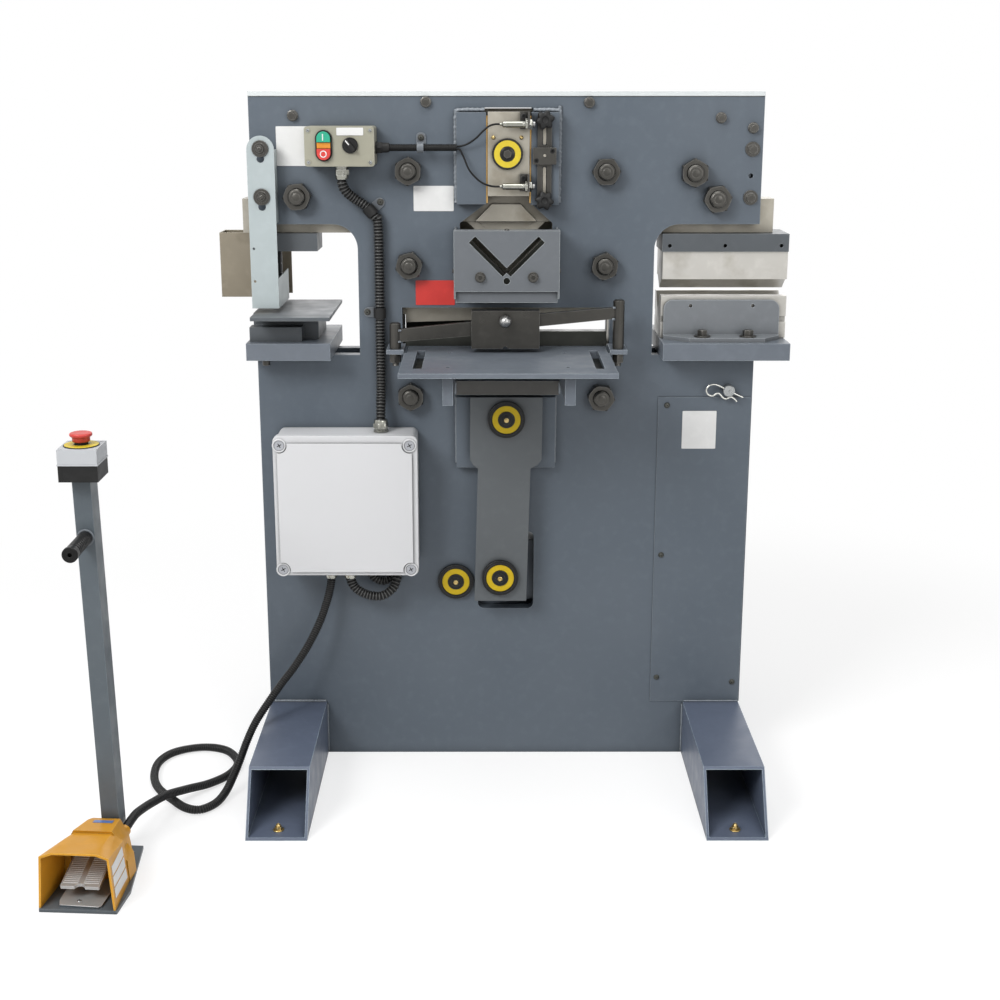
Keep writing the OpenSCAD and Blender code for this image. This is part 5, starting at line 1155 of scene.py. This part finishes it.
def makeAngleGuardBits(a):
    bm = bmesh.new()
    for x, z in a["sides"]:
        axis = "x" if x > 0 else "-x"
        lathe(bm, (x, -150, z), axis, [(0, -1), (4.4, -1), (4.4, 1.4), (3.4, 2.6), (0, 2.8)], 28)
    lathe(bm, a["top"], "z", [(0, -0.5), (4.4, -0.5), (4.4, 1.2), (3.2, 2.6), (1.8, 2.9), (1.8, 1.4),
                              (0, 1.4)], 28)
    addPiece("angleGuardBits", bm, "dark_steel", "frame", smooth=30)


makeAngleGuardBits(angleGuardBits)

tableLines = {"marks": [((-64, 66), -300), ((-40, 80), -62)], "top": 831.5, "slots": (-157, 162),
              "slotY": (-291, -100), "under": 816.5, "bar": ((-94.2, 99.6), (747.4, 773.6), -98.5)}


def makeTableLines(t):
    bm = bmesh.new()
    # near-black blocks at the bottoms of the table slots: painted shade inside the slots
    for x in t["slots"]:
        block(bm, (x - 12, x + 12), t["slotY"], (t["under"] - 2, t["under"]), 1)
    x, z, y = t["bar"]
    block(bm, x, (y - 0.7, y + 0.2), z, 2)
    for (x0, x1), y in t["marks"]:
        block(bm, (x0, x1), (y - 0.5, y + 0.5), (t["top"] - 0.2, t["top"] + 0.06))
    addPiece("tableScribe", bm, "frame_paint", "frame", smooth=30, parts=["blade_dark", "bar_brown"])


makeTableLines(tableLines)

# lid of the enclosure: raised panel between the four corner bosses
lidPanel = {"x": (-436, -167), "z": (404, 672), "face": -142.5, "inset": 8.5, "boss": 14.5}


def makeLidPanel(p):
    x0, x1 = p["x"][0] + p["inset"], p["x"][1] - p["inset"]
    z0, z1 = p["z"][0] + p["inset"], p["z"][1] - p["inset"]
    line = []
    r = p["boss"]
    for cx, cz in ((x1, z0), (x1, z1), (x0, z1), (x0, z0)):
        bossX = p["x"][1] - 13 if cx == x1 else p["x"][0] + 13
        bossZ = p["z"][0] + 13 if cz == z0 else p["z"][1] - 13
        # the arc of the boss cuts the corner, from one side of the panel to the other
        dx = math.sqrt(max(0.0, r * r - (cz - bossZ) ** 2))
        dz = math.sqrt(max(0.0, r * r - (cx - bossX) ** 2))
        sx = -1 if cx == x1 else 1
        sz = 1 if cz == z0 else -1
        first = (bossX + sx * dx, cz)
        last = (cx, bossZ + sz * dz)
        a0 = math.atan2(first[1] - bossZ, first[0] - bossX)
        a1 = math.atan2(last[1] - bossZ, last[0] - bossX)
        swing = (a1 - a0 + math.pi) % (2 * math.pi) - math.pi
        arc = [(bossX + r * math.cos(a0 + swing * k / 8), bossZ + r * math.sin(a0 + swing * k / 8))
               for k in range(9)]
        if (cx == x1) != (cz == z0):
            arc = arc[::-1]
        line += arc
    bm = bmesh.new()
    slab(bm, line, p["face"] - 1.6, p["face"] + 0.2)
    addPiece("lidPanel", bm, "box_white", "frame", smooth=30, soften=0.7)


enclosureShell = {"x": (-435.5, -165.5), "z": (405, 677.5), "front": -142.5, "seam": -120.5, "back": -52.6,
                  "bosses": [(-423, 417), (-180, 417), (-423, 659), (-180, 659)]}


def makeEnclosureShell(e):
    (x0, x1), (z0, z1) = e["x"], e["z"]
    bm = bmesh.new()
    slab(bm, roundedOutline((x0 + 2.5, x1 - 2.5), (z0 + 2.5, z1 - 2.5), 11), e["seam"] - 0.5, e["back"])
    slab(bm, roundedOutline((x0 + 5.5, x1 - 5.5), (z0 + 5.5, z1 - 5.5), 9), e["seam"] - 1.5, e["seam"] + 2,
         1)
    addPiece("enclosureBack", bm, "box_white", "frame", replaces=("enclosure_base",), smooth=30, soften=1.2,
             parts=["black_rubber"])
    bm = bmesh.new()
    slab(bm, roundedOutline((x0, x1), (z0, z1), 12, 8), e["front"] + 3.6, e["seam"] - 1.2)
    for x, z in e["bosses"]:
        lathe(bm, (x, e["front"] + 3.8, z), "-y",
              [(13.4, -1), (13.4, 2.2), (12.4, 3.4), (10.4, 3.4), (10, 2.6), (9.8, 0), (0, 0)], 40)
    addPiece("enclosureFront", bm, "box_white", "frame", replaces=("enclosure_lid",), smooth=30, soften=1.6)


makeEnclosureShell(enclosureShell)

# pale strip along the top of the plates, overhanging them a little front and back
topStrip = {"x": (-470, 470), "y": (-54.2, 54.2), "z": (1290.4, 1298.6)}


def makeTopStrip(t):
    bm = bmesh.new()
    block(bm, t["x"], t["y"], t["z"])
    block(bm, (t["x"][0] + 0.6, t["x"][1] - 0.6), (t["y"][0] + 0.6, t["y"][1] - 0.6), (1289.6, 1290.6), 1)
    addPiece("topStrip", bm, "pale_cover", "frame", replaces=("top_cover",), smooth=30, soften=0.7,
             parts=["blade_dark"])


makeTopStrip(topStrip)

# sheet behind the angle shear that turns offcuts down, and a near-black bar behind the left of the flat
# shear, a bracket whose near-black colour is painted shade
offcutSheet = {"x": (-104, 104), "z": (903, 1078), "reach": 112, "sheet": 2.5}


def makeOffcutSheet(o):
    (x0, x1), (z0, z1) = o["x"], o["z"]
    bm = bmesh.new()
    wall, reach = o["sheet"], o["reach"]
    slopes = [(plateRear, z1), (plateRear + 34, z1), (reach, z1 - 46), (reach, z0), (reach - wall, z0),
              (reach - wall, z1 - 47), (plateRear + 33, z1 - wall), (plateRear, z1 - wall)]
    turned = Matrix(((0, 1, 0, 0), (1, 0, 0, 0), (0, 0, 1, 0), (0, 0, 0, 1)))
    slab(bm, slopes, x0, x1, place=turned)
    cheek = [(plateRear, z1), (plateRear + 34, z1), (reach, z1 - 46), (reach, z0), (plateRear + 26, z0),
             (plateRear, z0 + 30)]
    for x in (x0 - wall, x1):
        slab(bm, cheek, x, x + wall, place=turned)
    for x in (x0 - 16, x1 + 4):
        block(bm, (x, x + 12), (plateRear, plateRear + 2.5), (z1 - 110, z1 - 30))
        for z in (z1 - 96, z1 - 44):
            hexHead(bm, (x + 6, plateRear + 2.5, z), "y", 10, 4, 1, turn=z)
    # a bracket behind the flat shear, near-black as painted shade
    block(bm, (-194, -44), (plateRear, plateRear + 4), (828, 884), 2)
    addPiece("offcutSheet", bm, "inner_tan", "frame", smooth=30, soften=0.5,
             parts=["zinc", "blade_dark"])


makeOffcutSheet(offcutSheet)
makeLidPanel(lidPanel)
print("small fittings made")

# the pedal's own frame: origin under the middle of its mouth, turned a little, Y into it
pedalPlace = Matrix.Translation((-703.5, -661.5, 0)) @ Matrix.Rotation(math.radians(-4), 4, "Z")

hoodBits = {"bands": [(64, 80), (44, 61), (23, 41)], "reach": (9, 84),
            "strip": {"x": (-14, 20), "y": (135, 147)}, "screws": [(-17, 165.6, 74), (17, 165.6, 74)]}


def makeHoodBits(h):
    bm = bmesh.new()
    hood = BVHTree.FromPolygons([v.co / mm for v in nodes["pedal_hood"].data.vertices],
                                [p.vertices for p in nodes["pedal_hood"].data.polygons])
    inward = pedalPlace.to_3x3() @ Vector((-1, 0, 0))

    def wallAt(y, z, out):
        hit = hood.ray_cast(pedalPlace @ Vector((120, y, z)), inward)[0]
        return hit - inward * out

    for z0, z1 in h["bands"]:
        grid = []
        for out in (0.55, -0.4):
            sheet = []
            for i in range(9):
                y = h["reach"][0] + (h["reach"][1] - h["reach"][0]) * i / 8
                drop = (y - h["reach"][0]) * 0.06
                levels = [z0 - drop + (z1 - z0) * j / 3 for j in range(4)]
                sheet.append([bm.verts.new(wallAt(y, z, out)) for z in levels])
            grid.append(sheet)
        for i in range(8):
            for j in range(3):
                for sheet in grid:
                    bm.faces.new([sheet[i][j], sheet[i + 1][j], sheet[i + 1][j + 1], sheet[i][j + 1]])
            for j in (0, 3):
                bm.faces.new([grid[0][i][j], grid[0][i + 1][j], grid[1][i + 1][j], grid[1][i][j]])
        for i in (0, 8):
            for j in range(3):
                bm.faces.new([grid[0][i][j], grid[0][i][j + 1], grid[1][i][j + 1], grid[1][i][j]])
    (x0, x1), (y0, y1) = h["strip"]["x"], h["strip"]["y"]
    corners = []
    for lift in (0.6, -0.6):
        for x, y in ((x0, y0), (x1, y0), (x1, y1), (x0, y1)):
            z = 97 - 9 * (y - 94) / 56
            corners.append(bm.verts.new(pedalPlace @ Vector((x, y, z + lift))))
    bm.faces.new(corners[:4]).material_index = 1
    for k in range(4):
        side = [corners[k], corners[(k + 1) % 4], corners[4 + (k + 1) % 4], corners[4 + k]]
        bm.faces.new(side).material_index = 1
    for x, y, z in h["screws"]:
        lathe(bm, pedalPlace @ Vector((x, y, z)), "y",
              [(0, -1), (3.4, -1), (3.4, 1.2), (2.4, 2.0), (0, 2.0)], 24, 2)
    addPiece("hoodFittings", bm, "plate_white", "frame", smooth=30,
             parts=["strip_blue", "zinc"])


makeHoodBits(hoodBits)

pedalPad = {"outline": [(-31, 5), (34, 2), (38.5, 7), (40.5, 50), (40.5, 91.6), (-37, 91.6), (-36, 20)],
            "floor": 6.2, "top": 10.4, "screw": (-2, 17.5)}


def makePedalPad(p):
    bm = bmesh.new()
    plate(bm, p["outline"], p["floor"], p["top"], place=pedalPlace)
    x, y = p["screw"]
    at = pedalPlace @ Vector((x, y, p["top"] - 0.6))
    lathe(bm, at, "z", [(0, 0), (3.6, 0), (3.6, 1.8), (2.6, 2.8), (0, 3)], 28, 1)
    for side in (-1, 1):
        at = pedalPlace @ Vector((side * 33.6, 187.7, 5.6))
        lathe(bm, at, "z", [(0, 0), (4.6, 0), (4.6, 1.4), (3.4, 2.6), (0, 2.8)], 28, 1)
    addPiece("pedalPad", bm, "treadle_metal", "frame", smooth=30, soften=0.5, parts=["zinc"])


makePedalPad(pedalPad)

# tread plate: slopes up into the housing, two fields of ribs and a notch in the front edge
tread = {"half": 33, "front": 18, "back": 134, "low": 37, "slope": 0.24, "thick": 5, "ribs": 17,
         "fields": ((-30, -4.5), (4.5, 30)), "shaft": (138, 49)}


def makeTread(t):
    bm = bmesh.new()
    notch = []
    for k in range(13):
        a = math.pi * k / 12
        notch.append((-9 * math.cos(a), t["front"] + 6.5 * math.sin(a) ** 1.6))
    edge = [(-t["half"], t["front"] + 1.5), (-t["half"] + 1.5, t["front"]), *notch,
            (t["half"] - 1.5, t["front"]), (t["half"], t["front"] + 1.5)]
    rows = 24

    def height(y):
        return t["low"] + (min(y, 100) - t["front"]) * t["slope"]

    for lift, flip in ((0.0, False), (-t["thick"], True)):
        lines = []
        for x, y0 in edge:
            column = []
            for r in range(rows + 1):
                y = y0 + (t["back"] - y0) * r / rows
                column.append(bm.verts.new(pedalPlace @ Vector((x, y, height(y) + lift))))
            lines.append(column)
        for a, b in zip(lines, lines[1:]):
            for r in range(rows):
                bm.faces.new([a[r], b[r], b[r + 1], a[r + 1]])
        if not flip:
            top = lines
        else:
            for k in range(len(edge) - 1):
                bm.faces.new([top[k][0], top[k + 1][0], lines[k + 1][0], lines[k][0]])
            for column in (0, -1):
                for r in range(rows):
                    bm.faces.new([top[column][r], top[column][r + 1], lines[column][r + 1],
                                  lines[column][r]])
            for k in range(len(edge) - 1):
                bm.faces.new([top[k][-1], top[k + 1][-1], lines[k + 1][-1], lines[k][-1]])
    for x0, x1 in t["fields"]:
        for k in range(t["ribs"]):
            y = 26 + k * 4.3
            if y > 97:
                break
            ridge = []
            for x in (x0, x1):
                for dy, up in ((-1.1, -0.4), (-0.5, 1.0), (0.5, 1.0), (1.1, -0.4)):
                    ridge.append(bm.verts.new(pedalPlace @ Vector((x, y + dy, height(y + dy) + up))))
            for q in range(3):
                bm.faces.new([ridge[q], ridge[q + 1], ridge[q + 5], ridge[q + 4]])
            bm.faces.new(ridge[:4])
            bm.faces.new(ridge[4:][::-1])
    y, z = t["shaft"]
    ends = [pedalPlace @ Vector((x, y, z)) for x in (-39, 39)]
    sweep(bm, ends, [6.8, 6.8], 28)
    addPiece("treadPlate", bm, "treadle_metal", "pedal", replaces=("treadle",), smooth=35)


makeTread(tread)
print("pedal made")

stopBox = {"at": (-691, -494), "wide": 33, "deep": 34, "floor": 690, "seam": 717, "top": 744}


def makeStopBox(s):
    x, y = s["at"]
    w, d = s["wide"], s["deep"]
    bm = bmesh.new()
    block(bm, (x - w + 1, x + w - 1), (y - d + 1, y + d - 1), (s["floor"], s["seam"]))
    block(bm, (x - w, x + w), (y - d, y + d), (s["seam"], s["seam"] + 2.6), 1)
    block(bm, (x - w + 0.8, x + w - 0.8), (y - d + 0.8, y + d - 0.8), (s["seam"] + 2, s["top"]), 1)
    lathe(bm, (x, y, s["top"] - 0.4), "z", [(0, 0), (29.2, 0), (29.2, 1.4), (28.6, 1.8), (0, 1.8)], 64, 0)
    lathe(bm, (x, y, s["top"] - 0.2), "z", [(0, 1), (27.6, 1), (27.6, 2.0), (27, 2.4), (11.6, 2.4),
                                            (11.6, 1.2), (0, 1.2)], 64, 2)
    lathe(bm, (x, y, s["top"]), "z", [(11.4, 0), (12.8, 0.2), (12.8, 2.4), (11.4, 2.8), (11.0, 2.4)], 48, 0)
    for sx in (-1, 1):
        for sy in (-1, 1):
            lathe(bm, (x + sx * (w - 6), y + sy * (d - 6), s["top"] - 0.4), "z",
                  [(0, 0), (3.2, 0), (3.2, 0.9), (2.6, 1.2), (0, 0.7)], 24, 1)
    block(bm, (x - 16, x + 24), (y + 8, y + 33), (s["floor"] - 2, s["floor"] + 1), 0)
    addPiece("stopBoxShell", bm, "black_plastic", "frame", replaces=("stop_box",),
             soften=1.4, parts=["box_white_shaded", "sight_yellow"])


def makeStopHead(s):
    x, y = s["at"]
    z = s["top"]
    bm = bmesh.new()
    lathe(bm, (x, y, z), "z", [(0, -2), (10.8, -2), (10.8, 7), (9.6, 8), (9.6, 9), (0, 9)], 48, 1)
    lathe(bm, (x, y, z), "z", [(0, 6.6), (13.6, 6.6), (14.3, 7.6), (14.4, 12.4), (15.2, 14.4), (17.6, 15.6),
                               (18.2, 16.8), (18.2, 19.2), (17.3, 20.4), (14.6, 21.2), (12.8, 20.9),
                               (0, 21.1)], 64)
    addPiece("stopHead", bm, "red_button", "emergency_head", replaces=("estop_head",),
             parts=["black_plastic"])


makeStopBox(stopBox)
makeStopHead(stopBox)

# ribbed hand grip on the post, with the pale ring at its root and a hole in its end
handGrip = {"at": (-694.7, 588), "root": -494, "length": 98, "radius": 12, "flange": 13, "ribs": 9}


def makeHandGrip(g):
    x, z = g["at"]
    bm = bmesh.new()
    r, end, flange = g["radius"], g["length"], g["flange"]
    profile = [(0, 0.5), (r - 1.5, 0.5), (r - 1.5, 2), (r, 3), (r, 10)]
    step = 72 / g["ribs"]
    for k in range(g["ribs"]):
        h = 12 + k * step
        profile += [(r, h), (r - 1.1, h + 1.0), (r - 1.1, h + 2.6), (r, h + 3.6)]
    profile += [(r, end - 10), (flange, end - 8.5), (flange, end - 1.4), (flange - 1.2, end),
                (4.2, end), (3.4, end - 0.8), (3.4, end - 8), (0, end - 8)]
    lathe(bm, (x, g["root"], z), "-y", profile, 48)
    washer(bm, (x, g["root"], z), "-y", 14.5, 9, 2.2, 1)
    addPiece("handGripRibbed", bm, "black_rubber", "frame", replaces=("post_grip",), smooth=35,
             parts=["weld_metal"])


makeHandGrip(handGrip)
print("foot station made")

# behind the frame: fins and fan cover of the motor, fittings of the tank
powerUnit = {"axis": (260, 392), "body": 70, "fins": 40, "from": -104, "to": 94}


def makePowerUnit(p):
    bm = bmesh.new()
    y, z = p["axis"]
    for k in range(p["fins"]):
        a = 2 * math.pi * k / p["fins"]
        if abs(math.sin(a)) > 0.86:
            continue
        c, s = math.cos(a), math.sin(a)
        spots = []
        for x in (p["from"], p["to"]):
            for r, w in ((p["body"] - 2, 1.8), (p["body"] + 6.5, 1.0)):
                for side in (-w, w):
                    spots.append(bm.verts.new(Vector((x, y + c * r - s * side, z + s * r + c * side))))
        for quad in ((0, 1, 3, 2), (4, 6, 7, 5), (0, 2, 6, 4), (1, 5, 7, 3), (2, 3, 7, 6)):
            bm.faces.new([spots[i] for i in quad])
    lathe(bm, (-128, y, z), "-x", [(74.5, 0), (74.5, 14), (71, 18), (52, 20), (50, 20.6)], 64)
    for k in range(5):
        washer(bm, (-147.4, y, z), "-x", 14 + k * 8, 10 + k * 8, 1.6, sides=56)
    lathe(bm, (-147.4, y, z), "-x", [(0, 0), (8, 0), (8, 1.6), (0, 1.8)], 32)
    plate(bm, roundedOutline((-43, 53), (212, 308), 5), 490, 494.5)
    for x in (-36, 46):
        for yy in (219, 301):
            lathe(bm, (x, yy, 494), "z", [(0, 0), (3.6, 0), (3.6, 2), (2.8, 2.8), (0, 2.4)], 20, 1)
    hexHead(bm, (45, 213, 472), "-y", 22, 8, 2, turn=10)
    lathe(bm, (45, 205, 472), "-y", [(0, 0), (8.6, 0), (8.6, 8), (7, 11), (4.5, 11), (4.5, 10), (0, 10)],
          28, 2)
    addPiece("motorFins", bm, "motor_paint", "frame", smooth=30, parts=["zinc", "nickel"])


makePowerUnit(powerUnit)

tankFittings = {"box": (-200, 200, 135, 375), "lid": 306, "filler": (-150, 330), "gauge": (130, 375)}


def makeTankFittings(t):
    bm = bmesh.new()
    x0, x1, y0, y1 = t["box"]
    between = (x0 + x1) / 2 + 60
    for x in (x0, between, x1):
        for y in (y0, y1):
            if (x, y) == (between, y0):
                continue
            hexHead(bm, (x * 0.985, y + (3 if y == y0 else -3), t["lid"]), "z", 10, 4.6, turn=x * 0.3)
    x, y = t["filler"]
    lathe(bm, (x, y, t["lid"] + 0.2), "z", [(26.4, 0), (27.2, 0.6), (27.2, 18), (26, 22), (24.4, 24.6),
                                            (0, 25.2)], 56, 1)
    for k in range(28):
        a = 2 * math.pi * k / 28
        lathe(bm, (x + 27 * math.cos(a), y + 27 * math.sin(a), t["lid"] + 3), "z",
              [(0, 0), (1.3, 0), (1.3, 14), (0, 15)], 8, 1)
    gx, gy = t["gauge"]
    slab(bm, roundedOutline((gx - 14, gx + 14), (110, 240), 6), gy - 0.5, gy + 6, 2)
    slab(bm, roundedOutline((gx - 7, gx + 7), (126, 224), 5), gy + 5.5, gy + 8, 3)
    for z in (118, 232):
        hexHead(bm, (gx, gy + 6, z), "y", 11, 5, 0, turn=15)
    hexHead(bm, (-150, 375, 50), "y", 24, 10, 0, turn=8)
    washer(bm, (-150, 374.6, 50), "y", 17, 6, 2, 0)
    for z in (352, 366):
        for y in (148, 192):
            lathe(bm, (150, y, z), "-x", [(0, -1), (5, -1), (5, 5), (4.4, 6), (2.6, 6), (2.6, 3), (0, 3)],
                  24)
    for x, y, z in ((200, 160, 336), (200, 184, 360)):
        hexHead(bm, (x - 0.5, y, z), "x", 24, 9, 0, turn=20)
    addPiece("tankFittings", bm, "zinc", "frame", smooth=30,
             parts=["black_plastic", "bright_steel", "amber_lens"])


makeTankFittings(tankFittings)
print("power unit dressed")

stage = {"floor": 14.0, "paleFrom": 1.1, "paleTo": 2.0, "sky": 0.30, "lamps": [
    {"name": "key", "at": (-2.1, -2.7, 3.0), "size": 1.5, "power": 104},
    {"name": "sheen", "at": (1.7, -3.1, 1.9), "size": 1.6, "power": 24},
    {"name": "top", "at": (0.1, -0.9, 3.6), "size": 1.8, "power": 34},
    {"name": "back", "at": (0.4, 3.2, 2.4), "size": 2.6, "power": 34}]}


def showTo(add, link, rays, shown, hidden):
    # the rays named see the first shader, all others the second
    path = add("ShaderNodeLightPath")
    seen = path.outputs["Is " + rays[0] + " Ray"]
    for ray in rays[1:]:
        either = add("ShaderNodeMath", operation="MAXIMUM")
        link(seen, either.inputs[0])
        link(path.outputs["Is " + ray + " Ray"], either.inputs[1])
        seen = either.outputs[0]
    choose = add("ShaderNodeMixShader")
    link(seen, choose.inputs[0])
    link(hidden.outputs[0], choose.inputs[1])
    link(shown.outputs[0], choose.inputs[2])
    return choose.outputs[0]


def makeStage(s):
    bm = bmesh.new()
    bmesh.ops.create_grid(bm, x_segments=8, y_segments=8, size=s["floor"])
    mesh = bpy.data.meshes.new("floor")
    bm.to_mesh(mesh)
    bm.free()
    floor = bpy.data.objects.new("floor", mesh)
    bpy.context.scene.collection.objects.link(floor)
    mat = bpy.data.materials.new("floorPaint")
    add, link = startTree(mat)
    out = add("ShaderNodeOutputMaterial")
    matt = add("ShaderNodeBsdfDiffuse", Color=(0.40, 0.40, 0.40, 1))
    glow = add("ShaderNodeEmission", Strength=0.66)
    near = add("ShaderNodeAddShader")
    far = add("ShaderNodeEmission", Strength=1.0)
    plain = add("ShaderNodeBsdfDiffuse", Color=(0.75, 0.75, 0.75, 1))
    # the floor turns to plain white away from the machine
    spot = add("ShaderNodeTexCoord")
    away = add("ShaderNodeVectorMath", operation="LENGTH")
    share = add("ShaderNodeMapRange", interpolation_type="SMOOTHSTEP", From_Min=s["paleFrom"],
                From_Max=s["paleTo"])
    ground = add("ShaderNodeMixShader")
    link(spot.outputs["Object"], away.inputs[0])
    link(away.outputs["Value"], share.inputs["Value"])
    link(matt.outputs[0], near.inputs[0])
    link(glow.outputs[0], near.inputs[1])
    link(share.outputs[0], ground.inputs[0])
    link(near.outputs[0], ground.inputs[1])
    link(far.outputs[0], ground.inputs[2])
    link(showTo(add, link, ("Camera", "Glossy"), ground, plain), out.inputs[0])
    mesh.materials.append(mat)

    world = bpy.data.worlds.new("studio")
    bpy.context.scene.world = world
    add, link = startTree(world)
    out = add("ShaderNodeOutputWorld")
    soft = add("ShaderNodeBackground", Color=(1, 1, 1, 1), Strength=s["sky"])
    white = add("ShaderNodeBackground", Color=(1, 1, 1, 1), Strength=1.0)
    link(showTo(add, link, ("Camera", "Glossy", "Transmission"), white, soft), out.inputs[0])

    for lampSet in s["lamps"]:
        lamp = bpy.data.lights.new(lampSet["name"], "AREA")
        lamp.shape = "SQUARE"
        lamp.size = lampSet["size"]
        lamp.energy = lampSet["power"]
        body = bpy.data.objects.new(lampSet["name"], lamp)
        body.location = lampSet["at"]
        aim = Vector((0, 0, 0.7)) - Vector(lampSet["at"])
        body.rotation_euler = aim.to_track_quat("-Z", "Y").to_euler()
        bpy.context.scene.collection.objects.link(body)


makeStage(stage)
bpy.context.scene.view_settings.view_transform = "Standard"
print("floor and lamps made")
